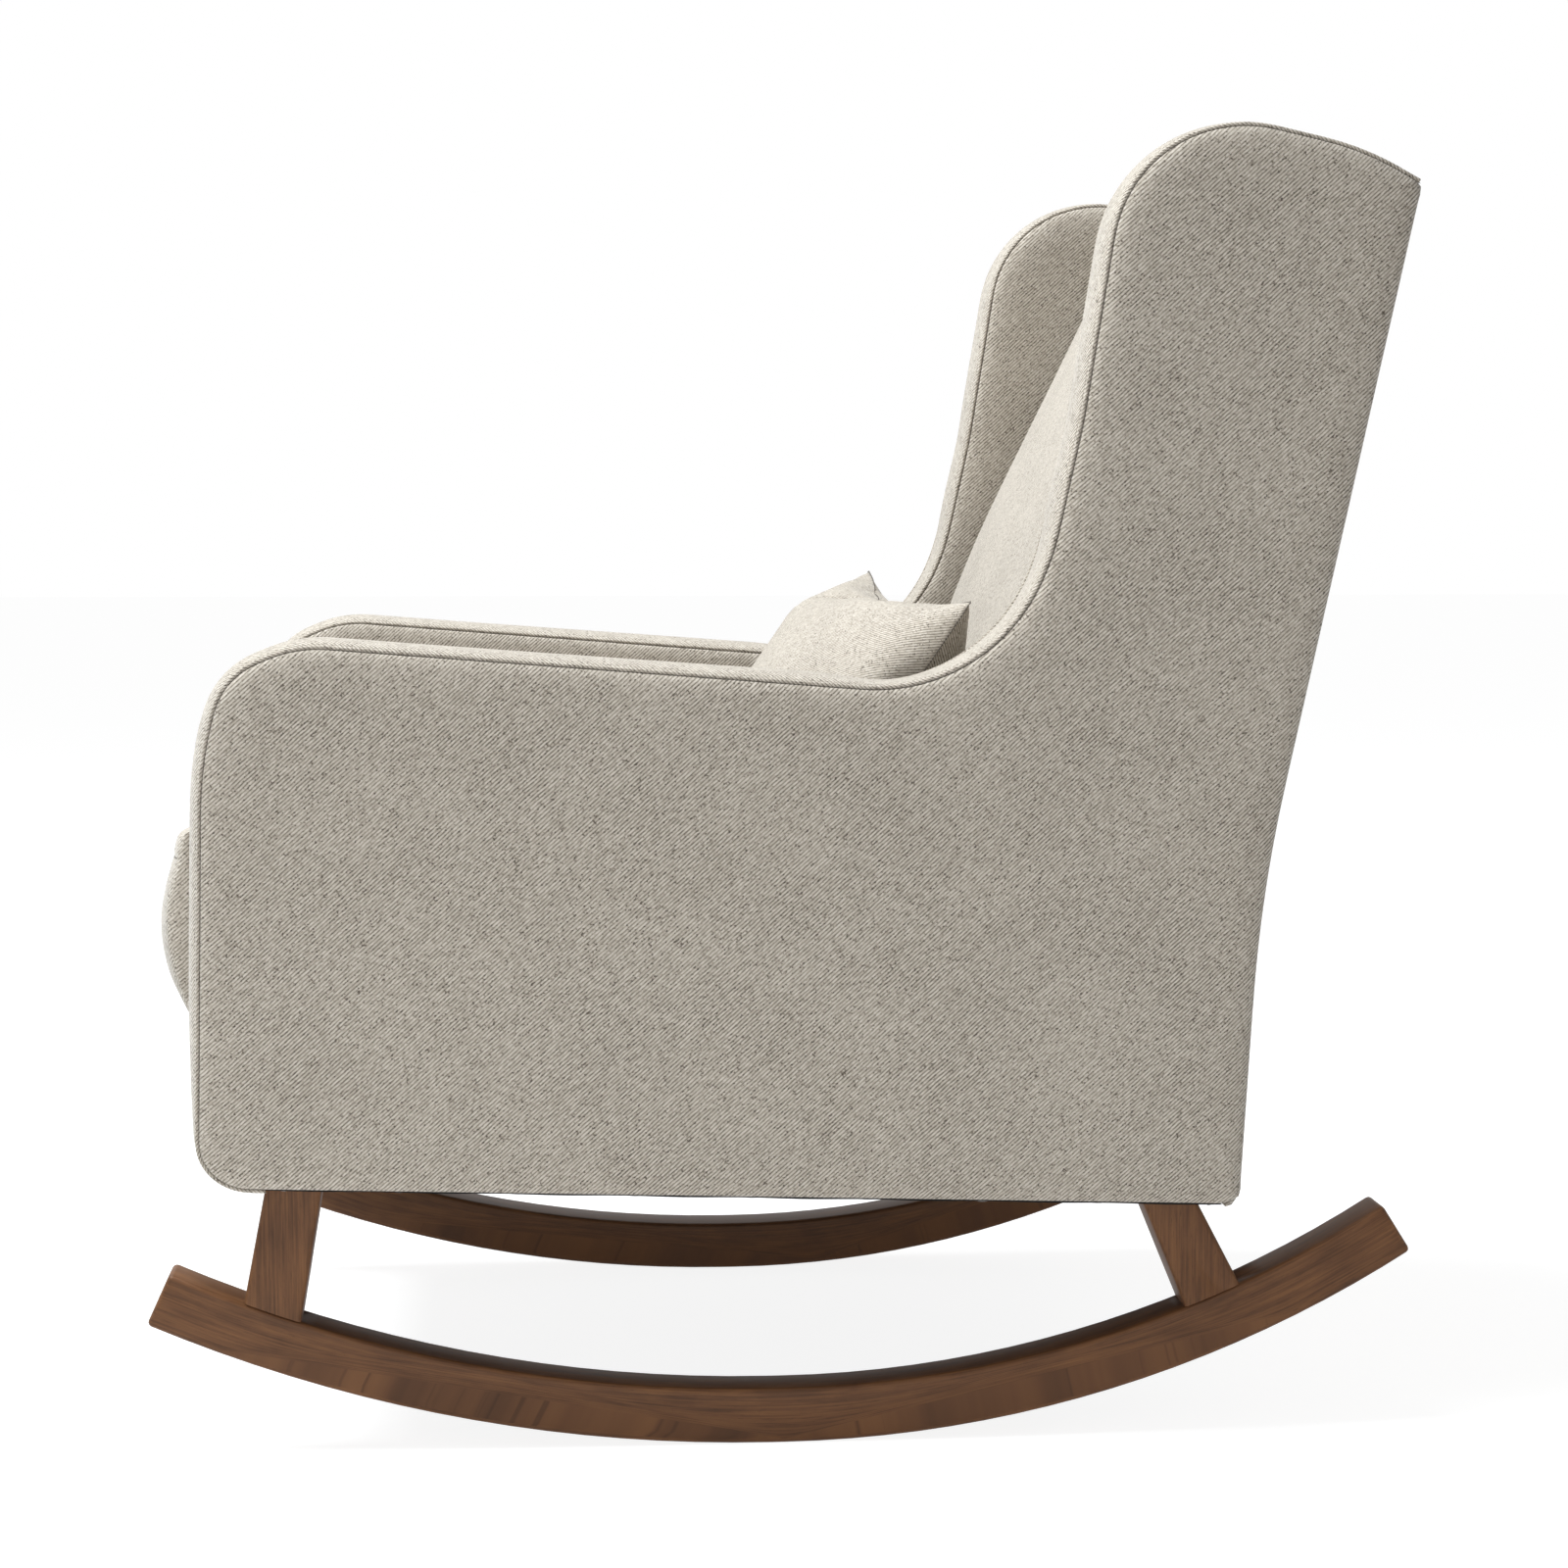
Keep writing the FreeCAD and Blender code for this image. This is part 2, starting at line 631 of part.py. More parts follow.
# Boxing bands, crowned strips that follow the outline between the two seams of a side
bandInner = f"({innerHalf} + piping_diameter)"
bandOuter = f"({outerHalf} - piping_diameter)"
bandSpine = [("-arm_reach", armFootSide), *sideOutline(), ("back_top_reach", topCornerHeight)]
footSpine = armFootArc("seam_foot_turn")
underTurn = f"(90 - {seatRake} / 1 deg)"
for side, sign in sideSigns:
    band = newBody(f"boxing_band_{side}")
    face = "-arm_reach - band_thickness"
    near, far = sorted((f"{sign} * {bandInner}", f"{sign} * {bandOuter}"), key=sizeOf)
    for corners in (bandSpine, footSpine):
        spine = outlineSketch(band, corners, closed=False)
        section = outlineSketch(band, [
            (near, face, None, ("bulge", "band_crown")),
            (far, face),
            (far, "-arm_reach"),
            (near, "-arm_reach"),
        ], plane="XY_Plane", level=armFootSide)
        sweep(band, section, spine)
    under = rectangle(("-arm_reach - front_foot_round", "body_clearance - front_foot_round"),
                      ("-arm_reach + front_foot_round", "body_clearance"))
    pocket(band, outlineSketch(band, under), "2 * (body_width + cut_overrun)", symmetric=True)

# Piping along the seams
def pipingBody(label, side, sign, across, runs):
    body = newBody(f"{label}_{side}")
    for corners in runs:
        spine = outlineSketch(body, corners, closed=False)
        profile = circleSketch(body, f"{sign} * ({across})", "-arm_reach - piping_diameter / 2",
                               "piping_diameter - piping_seat_gap", "XY_Plane", armFootSide)
        sweep(body, profile, spine)


for side, sign in sideSigns:
    pipingBody("piping_outer", side, sign, f"{outerHalf} - piping_diameter / 2",
               (bandSpine, armFootArc(underTurn)))
    pipingBody("piping_inner", side, sign, f"{innerHalf} + piping_diameter / 2", (bandSpine, footSpine))

# Outside back, one panel from the wings' top corners down to the underside
outsideBack = newBody("outside_back")
backFace = [("back_top_reach", topCornerHeight), backWaist, ("back_foot_reach", footHeight)]
outerFace = [(f"{along} + outside_back_thickness", up, *rest) for along, up, *rest in backFace]
corners = [*backFace, *outerFace[::-1]]
pad(outsideBack, outlineSketch(outsideBack, corners), f"2 * {outerHalf}", symmetric=True)


def crossRail(body, low, high):
    pad(body, outlineSketch(body, rectangle(low, high)), f"2 * {frameInner}", symmetric=True)


# Seat frame
crossRail(seatBody("seat_front_rail"), ("border_thickness", "0"),
          ("border_thickness + rail_thickness", "rail_height"))
crossRail(seatBody("seat_spring_rail"), (springRail, "0"), (f"{springRail} + rail_thickness", "rail_height"))
crossRail(seatBody("seat_rear_rail"), (rearRail, "0"), (f"{rearRail} + rail_thickness", "rail_height"))
cleatBottom = "(rail_height - cleat_height)"
for side, sign in sideSigns:
    cleat = seatBody(f"seat_cleat_{side}")
    corners = rectangle((bayFront, cleatBottom), (springRail, "rail_height"))
    pad(cleat, outlineSketch(cleat, corners, level=f"{sign} * ({frameInner} - cleat_thickness)"),
        "cleat_thickness", reverse=sign < 0)

cornerBlocks = seatBody("corner_blocks")
cleatFace = f"({frameInner} - cleat_thickness)"
for side, sign in sideSigns:
    for railFace, way in ((bayFront, 1), (springRail, -1)):
        corners = [
            (f"{sign} * {cleatFace}", railFace),
            (f"{sign} * {cleatFace}", f"{railFace} + {way} * corner_block_leg"),
            (f"{sign} * ({cleatFace} - corner_block_leg)", railFace),
        ]
        corners = corners if sign * way > 0 else clockwise(corners)
        pad(cornerBlocks, outlineSketch(cornerBlocks, corners, "XY_Plane", cleatBottom), "cleat_height")

mountBlocks = seatBody("leg_mount_blocks")
for side, sign in sideSigns:
    for place in (bayFront, f"{rearRail} - mount_block_length"):
        corners = rectangle((place, "0"), (f"{place} + mount_block_length", "mount_block_height"))
        sketch = outlineSketch(mountBlocks, corners, level=f"{sign} * ({frameInner} - mount_block_width)")
        pad(mountBlocks, sketch, "mount_block_width", reverse=sign < 0)
    for head, foot, radius in legPlaces.values():
        hole = circleSketch(mountBlocks, f"{sign} * {boltSide}", alongSeat(head),
                            "bolt_diameter + 2 * bolt_hole_gap", "XY_Plane",
                            "mount_block_height + cut_overrun")
        pocket(mountBlocks, hole, "mount_block_height + 2 * cut_overrun")

deckBottom = "(rail_height + clip_height)"
deckTop = f"({deckBottom} + deck_thickness)"
seatWidth = f"2 * ({innerHalf} - soft_gap)"
border = seatBody("front_border")
corners = rectangle(("-border_stand", "0"), ("border_thickness", deckTop))
pad(border, outlineSketch(border, corners), seatWidth, symmetric=True)
deck = seatBody("seat_deck")
corners = rectangle(("border_thickness", deckBottom), (f"{springRail} + rail_thickness", deckTop))
pad(deck, outlineSketch(deck, corners), seatWidth, symmetric=True)

dustCover = seatBody("dust_cover")
corners = rectangle(("front_foot_round", "-dust_cover_thickness"), (f"{bodyDepth} - dust_cover_inset", "0"))
pad(dustCover, outlineSketch(dustCover, corners), f"2 * ({outerHalf} - dust_cover_inset)", symmetric=True)
for side, sign in sideSigns:
    for head, foot, radius in legPlaces.values():
        half = "(leg_width / 2 + dust_cover_gap)"
        near, far = sorted((f"{sign} * ({runnerInner} - dust_cover_gap)",
                            f"{sign} * ({runnerOuter} + dust_cover_gap)"), key=sizeOf)
        corners = rectangle((near, f"{alongSeat(head)} - {half}"), (far, f"{alongSeat(head)} + {half}"))
        notch = outlineSketch(dustCover, corners, "XY_Plane", "0")
        pocket(dustCover, notch, "dust_cover_thickness + cut_overrun")

# Seat springs, zigzag wires that lie on the front rail and the spring rail
def zigzag(start, end, pitch, width, tail):
    """Centre line of a zigzag spring along +Y, with a straight tail at each end."""
    count = max(round((end - start) / pitch), 2)
    turn = (end - start) / count / 2
    swing = width / 2 - turn
    edges = [Part.LineSegment(V(0, start - tail, 0), V(0, start, 0))]

    def quarter(first, centre, last):
        middle = centre + ((first - centre) + (last - centre)).normalize() * turn
        edges.append(Part.Arc(first, middle, last))

    quarter(V(0, start, 0), V(turn, start, 0), V(turn, start + turn, 0))
    way = 1
    for i in range(count):
        along = start + turn + 2 * turn * i
        first = turn if i == 0 else -way * swing
        last = way * (swing if i < count - 1 else -turn)
        edges.append(Part.LineSegment(V(first, along, 0), V(last, along, 0)))
        if i < count - 1:
            edges.append(Part.Arc(V(last, along, 0), V(last + way * turn, along + turn, 0),
                                  V(last, along + 2 * turn, 0)))
            way = -way
    quarter(V(last, along, 0), V(last, along + turn, 0), V(0, along + turn, 0))
    edges.append(Part.LineSegment(V(0, end, 0), V(0, end + tail, 0)))
    return Part.Wire([edge.toShape() for edge in edges])


def addSprings(label, places):
    start = sizeOf(f"{bayFront} + spring_rail_gap")
    end = sizeOf(f"{springRail} - spring_rail_gap")
    tail = sizeOf("spring_tail")
    path = zigzag(start, end, sizeOf("spring_pitch"), sizeOf("spring_width"), tail)
    ring = Part.makeCircle(sizeOf("spring_wire / 2"), V(0, start - tail, 0), V(0, 1, 0))
    spring = path.makePipeShell([Part.Wire([ring])], True, False)
    lift = V(0, 0, sizeOf("rail_height + spring_wire / 2"))
    feature = doc.addObject("Part::Feature", label)
    feature.Label = label
    feature.Shape = Part.Compound([spring.translated(lift + V(place, 0, 0)) for place in places])
    leanInSeat(feature)
    subParts.append(feature)


springCount = 4
springSpread = f"(2 * ({cleatFace} - spring_edge_room) - spring_width)"
springPlaces = [f"{i / (springCount - 1) - 0.5} * {springSpread}" for i in range(springCount)]
addSprings("seat_springs", [sizeOf(place) for place in springPlaces])

springClips = seatBody("spring_clips")
grooveHalf = "(spring_wire / 2 + piping_seat_gap)"
grooveTop = "rail_height + spring_wire + piping_seat_gap"
for place in springPlaces:
    for middle in ("border_thickness + rail_thickness / 2", f"{springRail} + rail_thickness / 2"):
        corners = [
            (f"{place} - clip_width / 2", "rail_height"),
            (f"{place} - {grooveHalf}", "rail_height"),
            (f"{place} - {grooveHalf}", grooveTop),
            (f"{place} + {grooveHalf}", grooveTop),
            (f"{place} + {grooveHalf}", "rail_height"),
            (f"{place} + clip_width / 2", "rail_height"),
            (f"{place} + clip_width / 2", "rail_height + clip_height"),
            (f"{place} - clip_width / 2", "rail_height + clip_height"),
        ]
        saddle = outlineSketch(springClips, corners, "XZ_Plane", f"-({middle})")
        pad(springClips, saddle, "clip_length", symmetric=True)

# Back frame and webbing
def backRail(label, foot):
    body = backBody(label)
    corners = rectangle(("0", foot), ("rail_thickness", f"{foot} + back_rail_height"))
    pad(body, outlineSketch(body, corners), f"2 * {frameInner}", symmetric=True)


backRail("back_tuck_rail", "-back_frame_foot")
backRail("back_top_rail", f"{backFrameTop} - back_rail_height")
strapCount = 5
strapSpread = f"(2 * ({frameInner} - webbing_edge_room) - webbing_width)"
webbing = backBody("back_webbing")
for i in range(strapCount):
    middle = f"{i / (strapCount - 1) - 0.5} * {strapSpread}"
    corners = rectangle(("-webbing_thickness", "-back_frame_foot"), ("0", backFrameTop))
    pad(webbing, outlineSketch(webbing, corners, level=middle), "webbing_width", symmetric=True)

# Inside back, a padded panel that hooks over the top rail
widthShares = (-1, -0.86, -0.5, 0, 0.5, 0.86, 1)
crownShares = (0, 0.42, 0.86, 1, 0.86, 0.42, 0)
padBendShare = 0.3565
seamGapShares = (4, 2)
padBackGap = f"(webbing_thickness + soft_gap) / cos({backRecline})"
padFootRear = f"({padFoot} + pad_foot_thickness)"
padWaistHeight = "(back_origin_height - pad_waist_drop)"
padTopHeight = f"({topCornerHeight} + pad_top_rise)"
padTop = f"({padRearAt(padTopHeight)} - pad_top_depth)"
padBendHeight = f"({padWaistHeight} + {padBendShare} * ({padTopHeight} - {padWaistHeight}))"
padBend = f"({padRearAt(padBendHeight)} - pad_bend_depth)"
hookBottom = f"({backCutHeight} - soft_gap)"


def padFootHeight(along):
    return f"({bottomAt(along)} + {deckTop} + soft_gap)"


insideBack = newBody("inside_back")
sections = []
for widthShare, crownShare in zip(widthShares, crownShares):
    crown = f"{crownShare} * pad_crown"
    corners = [
        (padFoot, padFootHeight(padFoot)),
        (padFootRear, padFootHeight(padFootRear)),
        (padFootRear, f"back_origin_height - ({backOrigin} - {padBackGap} - {padFootRear}) / {backSlope}"),
        (f"{padRearAt(hookBottom)} - {padBackGap}", hookBottom),
        (f"{backEdgeAt(hookBottom)} - soft_gap", hookBottom),
        (f"back_top_reach - {seamGapShares[0]} * soft_gap",
         f"{topCornerHeight} - {seamGapShares[1]} * soft_gap"),
        (f"{padTop} - {crown} / 2", padTopHeight, "pad_top_round"),
        (f"{padBend} - {crown}", padBendHeight, "pad_bend_radius"),
        (padFoot, padWaistHeight),
    ]
    level = f"{widthShare} * ({innerHalf} - soft_gap)"
    sections.append(outlineSketch(insideBack, corners, level=level))
loft(insideBack, sections)

# Seat cushion, boxed, with a crowned top, a bulging front and drawn-in corners
cushionBase = f"({deckTop} + cushion_gap)"
cushionHalf = f"({innerHalf} - cushion_side_gap)"
seamHeight = f"({cushionBase} + cushion_boxing)"


def cushionRear(up):
    """Place of the cushion's rear edge in the seat's frame, clear of the inside back's foot."""
    back = f"({padFoot} + arm_reach - cushion_rear_bulge - cushion_rear_gap)"
    return f"(({back} - {up} * sin({seatRake})) / cos({seatRake}))"


cushionWidthShares = (0, 0.5, 0.8, 0.95, 1)
cushionCrownShares = (1, 0.93, 0.7, 0.4, 0.14)
cushionDrawShares = (0, 0, 0.1, 0.4, 1)
cushion = seatBody("seat_cushion")
shares = list(zip(cushionWidthShares, cushionCrownShares, cushionDrawShares))
shares = [(-width, crown, draw) for width, crown, draw in shares[:0:-1]] + shares
sections = []
for width, crown, draw in shares:
    drawn = f"{draw} * cushion_corner_draw"
    corners = [
        (f"-cushion_overhang + cushion_front_lean + {drawn}", cushionBase),
        (f"{cushionRear(cushionBase)} - {drawn}", cushionBase, None, ("bulge", "cushion_rear_bulge")),
        (f"{cushionRear(seamHeight)} - {drawn}", seamHeight, None, ("bulge", f"{crown} * cushion_crown")),
        (f"-cushion_overhang - cushion_front_lean + {drawn}", seamHeight, None,
         ("bulge", "cushion_front_bulge")),
    ]
    sections.append(outlineSketch(cushion, corners, level=f"{width} * {cushionHalf}"))
loft(cushion, sections)

# Lumbar pillow, a knife-edged pillow that leans on the inside back
pillowWidthShares = (0, 0.4, 0.75, 0.93, 1)
pillowThicknessShares = (1, 0.95, 0.74, 0.4, 0.1)
pillowHeightShares = (0.94, 0.945, 0.96, 0.98, 1)
crownAtFootShare = 0.64
pillowHalf = f"({innerHalf} - pillow_side_room)"
pillowLean = f"({backRecline} / 1 deg + pillow_extra_lean)"
pillowFoot = f"({bottomAt(padFoot)} + {seamHeight} + {crownAtFootShare} * cushion_crown + pillow_foot_gap)"
pillowMiddle = f"({pillowFoot} + pillow_height / 2 * cos({pillowLean}))"
padFaceSlope = f"({padBend} - pad_crown - {padFoot}) / ({padBendHeight} - {padWaistHeight})"
padFace = f"({padFoot} + {padFaceSlope} * ({pillowMiddle} - {padWaistHeight}))"
pillowReach = f"({padFace} - pillow_thickness / 2 - pillow_back_room)"
pillow = newBody("lumbar_pillow")
bind(pillow, "Placement", f"create(<<placement>>; create(<<vector>>; 0; {pillowReach}; {pillowMiddle}); "
     f"create(<<rotation>>; pillow_turn; 0; -{pillowLean}))")
shares = list(zip(pillowWidthShares, pillowThicknessShares, pillowHeightShares))
shares = [(-width, thickness, height) for width, thickness, height in shares[:0:-1]] + shares
sections = []
for width, thickness, height in shares:
    half = f"{height} * pillow_height / 2"
    bulge = ("bulge", f"{thickness} * pillow_thickness / 2")
    corners = [("0", f"-{half}", None, bulge), ("0", half, None, bulge)]
    sections.append(outlineSketch(pillow, corners, level=f"{width} * {pillowHalf}"))
loft(pillow, sections)

doc.recompute()

failed = [item.Label for item in doc.Objects if {"Invalid", "Error"} & set(item.State)]
for body in subParts:
    if body.Shape.isNull() or not body.Shape.isValid():
        failed.append(body.Label)
if failed:
    raise RuntimeError(f"not built: {failed}")

os.makedirs("parts", exist_ok=True)
for body in subParts:
    body.Shape.exportStep(f"parts/{body.Label}.step")
    box = body.Shape.BoundBox
    print(f"{body.Label}: {len(body.Shape.Solids)} solids, {body.Shape.Volume / 1000:.1f} cm3, "
          f"X {box.XMin:.1f} {box.XMax:.1f} Y {box.YMin:.1f} {box.YMax:.1f} Z {box.ZMin:.1f} {box.ZMax:.1f}")
print(f"{len(subParts)} sub-parts")
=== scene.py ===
import math

import bpy
import bmesh
import numpy as np
from mathutils import Matrix, Vector
from mathutils.geometry import delaunay_2d_cdt


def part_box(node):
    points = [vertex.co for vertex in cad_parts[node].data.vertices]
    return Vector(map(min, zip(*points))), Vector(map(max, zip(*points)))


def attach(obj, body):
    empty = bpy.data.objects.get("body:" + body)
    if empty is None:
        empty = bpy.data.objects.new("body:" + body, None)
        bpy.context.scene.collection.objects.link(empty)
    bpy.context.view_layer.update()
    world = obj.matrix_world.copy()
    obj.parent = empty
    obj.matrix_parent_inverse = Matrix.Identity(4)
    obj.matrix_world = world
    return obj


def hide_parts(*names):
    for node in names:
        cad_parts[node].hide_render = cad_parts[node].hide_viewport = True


# Upholstered wingback rocking chair. Metres, +Z up, the sitter faces -Y.
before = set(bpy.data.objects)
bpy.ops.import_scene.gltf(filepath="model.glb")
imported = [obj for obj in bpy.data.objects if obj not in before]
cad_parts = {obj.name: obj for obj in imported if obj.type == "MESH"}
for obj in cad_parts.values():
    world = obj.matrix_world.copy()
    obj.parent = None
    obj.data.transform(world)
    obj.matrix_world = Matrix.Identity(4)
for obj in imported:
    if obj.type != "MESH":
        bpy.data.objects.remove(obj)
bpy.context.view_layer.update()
scene = bpy.context.scene
sides = (("left", 1), ("right", -1))
sameLevel, samePoint = 1e-4, 2e-5
print("frame loaded")


# Nodes and colours

families = ("ShaderNode", "GeometryNode", "FunctionNode", "Node")


def addNode(tree, kind, inputs=None, **settings):
    # kind is the type's name without its family; a node among the inputs stands for its own first output
    family = next(family for family in families if hasattr(bpy.types, family + kind))
    node = tree.nodes.new(family + kind)
    for name, value in settings.items():
        setattr(node, name, value)
    for key, value in (inputs or {}).items():
        if isinstance(value, bpy.types.Node):
            value = value.outputs[0]
        if isinstance(value, bpy.types.NodeSocket):
            tree.links.new(value, node.inputs[key])
        else:
            node.inputs[key].default_value = value
    return node


def linear(hexCode):
    channels = [int(hexCode[i:i + 2], 16) / 255 for i in (1, 3, 5)]
    return tuple(c / 12.92 if c <= 0.04045 else ((c + 0.055) / 1.055) ** 2.4 for c in channels) + (1.0,)


def emptyTree(owner):
    owner.use_nodes = True
    owner.node_tree.nodes.clear()
    return owner.node_tree


def newMaterial(name):
    material = bpy.data.materials.new(name)
    return material, emptyTree(material)


def shine(tree, color, roughness, **constants):
    # the shader that ends every material; constants stay on its own sockets
    inputs = {"Base Color": color, "Roughness": roughness}
    inputs.update({name.replace("_", " "): value for name, value in constants.items()})
    addNode(tree, "OutputMaterial", {"Surface": addNode(tree, "BsdfPrincipled", inputs)})


def bumped(tree, height, strength, distance):
    return addNode(tree, "Bump", {"Strength": strength, "Distance": distance, "Height": height})


def ramp(tree, factor, stops):
    node = addNode(tree, "ValToRGB", {"Fac": factor})
    elements = node.color_ramp.elements
    while len(elements) < len(stops):
        elements.new(0.5)
    for element, (place, hexCode) in zip(elements, stops):
        element.position = place
        element.color = linear(hexCode)
    return node


def maths(tree, operation, a, b=0.0, c=0.0):
    return addNode(tree, "Math", {0: a, 1: b, 2: c}, operation=operation)


def product(tree, first, *others):
    for value in others:
        first = maths(tree, "MULTIPLY", first, value)
    return first


def scaled(tree, vector, factor):
    return addNode(tree, "VectorMath", {0: vector, "Scale": factor}, operation="SCALE")


def stretched(tree, vector, size):
    # a pattern space in which one unit is size millimetres each way
    scale = tuple(1 / s for s in size)
    return addNode(tree, "VectorMath", {0: vector, 1: scale}, operation="MULTIPLY")


def noise(tree, vector, size, detail=2.0, rough=0.5):
    # size is one for all ways, or one for each
    size = size if isinstance(size, tuple) else (size,) * 3
    place = stretched(tree, vector, size)
    return addNode(tree, "TexNoise", {"Vector": place, "Scale": 1.0, "Detail": detail, "Roughness": rough})


def mapped(tree, value, start, end, low, high):
    return addNode(tree, "MapRange", {"Value": value, "From Min": start, "From Max": end, "To Min": low,
                                      "To Max": high})


def mixColor(tree, mode, factor, a, b):
    inputs = {0: factor, 6: a, 7: b}
    return addNode(tree, "Mix", inputs, data_type="RGBA", blend_type=mode).outputs[2]


def millimetres(tree, place=None):
    # a place in metres, or else Object coordinates, turned to millimetres
    return scaled(tree, place or addNode(tree, "TexCoord").outputs["Object"], 1000.0)


# Upholstery: matt melange twill with a soft fuzz, its ribs a little wider than real, so that they show
cloth = {
    "twillPitch": 2.5, "twillAngle": 42.0, "float": (2.6, 1.25), "fleck": (1.3, 1.1), "fibre": 0.6,
    "warp": (1.2, 8.0, 1.0), "weft": (8.0, 1.2, 1.0), "patch": 90.0, "cloud": 60.0, "wander": 1.3,
    "wanderSize": 22.0, "shares": {"furrowShade": 0.42, "float": 0.19, "fleck": 0.38, "fibre": 0.43, "warp": 0.06,
                                   "weft": 0.05, "cloud": 0.02},
    "furrowShadeDepth": (0.8, 1.0), "base": 0.612, "fleckFrom": 0.9, "roughness": 0.92, "bump": (0.22, 0.0003),
    "stops": ((0.1, "#504840"), (0.38, "#928a7e"), (0.56, "#afa79b"), (0.9, "#ddd7ce")),
}


def centred(tree, value, share):
    # a pattern between 0 and 1 turned to one that swings about 0
    return product(tree, maths(tree, "SUBTRACT", value, 0.5), share)


def cells(tree, space, size, channel):
    # flat spots, each with a value of its own
    place = stretched(tree, space, (*size, 1.0))
    spots = addNode(tree, "TexVoronoi", {"Vector": place, "Scale": 1.0}, voronoi_dimensions="2D")
    return addNode(tree, "SeparateColor", {0: spots.outputs["Color"]}).outputs[channel]


def twillMaterial(name, look):
    # each float of thread has its own shade, some are nearly black, and dark furrows between the ribs are
    # painted shade for the grooves of the weave
    material, tree = newMaterial(name)
    share = look["shares"]
    place = millimetres(tree, addNode(tree, "UVMap", uv_map="weave"))
    turned = addNode(tree, "VectorRotate",
                     {"Vector": place, "Axis": (0, 0, 1), "Angle": -math.radians(look["twillAngle"])},
                     rotation_type="AXIS_ANGLE")
    wander = centred(tree, noise(tree, place, look["wanderSize"], 1.0), 2 * look["wander"])
    across = addNode(tree, "SeparateXYZ", {0: turned}).outputs["Y"]
    phase = product(tree, across, 2 * math.pi / look["twillPitch"])
    wave = maths(tree, "SINE", maths(tree, "ADD", phase, wander))
    rib = maths(tree, "MULTIPLY_ADD", wave, 0.5, 0.5)
    depth = mapped(tree, noise(tree, place, look["patch"], 1.0), 0.35, 0.65, *look["furrowShadeDepth"])
    fleck = cells(tree, place, look["fleck"], "Green")
    fibre = noise(tree, place, look["fibre"], 2.0, 0.6)
    layers = [
        # painted shade: darker in the furrows between the ribs
        product(tree, rib, rib, depth, -share["furrowShade"]),
        mapped(tree, fleck, look["fleckFrom"], 1.0, 0.0, -share["fleck"]),
        centred(tree, cells(tree, turned, look["float"], "Red"), share["float"]),
        centred(tree, fibre, share["fibre"]),
    ]
    layers += [centred(tree, noise(tree, place, look[way]), share[way]) for way in ("warp", "weft", "cloud")]
    mixed = look["base"]
    for value in layers:
        mixed = maths(tree, "ADD", value, mixed)
    height = maths(tree, "SUBTRACT", fibre, product(tree, rib, 0.6))
    shine(tree, ramp(tree, mixed, look["stops"]), look["roughness"], Sheen_Weight=0.22, Sheen_Roughness=0.5,
          Normal=bumped(tree, height, *look["bump"]), Specular_IOR_Level=0.15)
    return material


# Stained rubberwood: planed, walnut stain wiped on, satin lacquer, grain streaks along each piece
stain = {"streak": (70.0, 1.6, 1.6), "pore": (9.0, 0.45, 0.45), "figure": (45.0, 12.0, 12.0),
         "bump": (0.16, 0.0002), "stops": ((0.3, "#382213"), (0.52, "#5e3e26"), (0.74, "#775132"))}


def stainedWoodMaterial(look):
    material, tree = newMaterial("stainedWood")
    grain = addNode(tree, "Attribute", attribute_name="grain")
    place = millimetres(tree, grain.outputs["Vector"])
    streak = noise(tree, place, look["streak"], 4.0, 0.6)
    figure = noise(tree, place, look["figure"], 3.0)
    blend = maths(tree, "ADD", product(tree, streak, 0.65), product(tree, figure, 0.4))
    pit = mapped(tree, noise(tree, place, look["pore"]), 0.62, 0.72, 0.0, 0.55)
    color = mixColor(tree, "MIX", pit, ramp(tree, blend, look["stops"]), linear(look["stops"][0][1]))
    rough = maths(tree, "MULTIPLY_ADD", streak, 0.2, 0.4)
    height = maths(tree, "SUBTRACT", streak, pit)
    shine(tree, color, rough, Normal=bumped(tree, height, *look["bump"]), Specular_IOR_Level=0.22)
    return material


def plainWoodMaterial(name, size, dark, light):
    # raw timber, sawn: streaks along X or Y and a dry surface
    material, tree = newMaterial(name)
    streak = noise(tree, millimetres(tree), size, 4.0, 0.6)
    color = ramp(tree, streak, ((0.3, dark), (0.7, light)))
    shine(tree, color, 0.75, Normal=bumped(tree, streak, 0.2, 0.0003))
    return material


def steelMaterial(name, color, rough, size):
    # drawn wire or pressed plate: fine draw marks in the gloss
    material, tree = newMaterial(name)
    marks = noise(tree, millimetres(tree), size, 3.0)
    gloss = maths(tree, "MULTIPLY_ADD", marks, 0.25, rough)
    tint = mixColor(tree, "MULTIPLY", product(tree, marks, 0.4), linear(color), linear("#8a8780"))
    shine(tree, tint, gloss, Metallic=1.0)
    return material


def wovenMaterial(name, thread, dark, light, rough=0.95):
    # plain weave: threads over and under each way, a thread wide
    material, tree = newMaterial(name)
    place = millimetres(tree)
    parts = addNode(tree, "SeparateXYZ", {0: place}).outputs
    waves = [maths(tree, "SINE", product(tree, parts[axis], math.pi / thread)) for axis in ("X", "Y")]
    weave = maths(tree, "MULTIPLY_ADD", product(tree, *waves), 0.4, 0.5)
    slub = noise(tree, place, thread * 2, 3.0)
    mixed = maths(tree, "ADD", product(tree, weave, 0.6), product(tree, slub, 0.4))
    color = ramp(tree, mixed, ((0.25, dark), (0.75, light)))
    shine(tree, color, rough, Normal=bumped(tree, mixed, 0.5, 0.0004), Sheen_Weight=0.1)
    return material


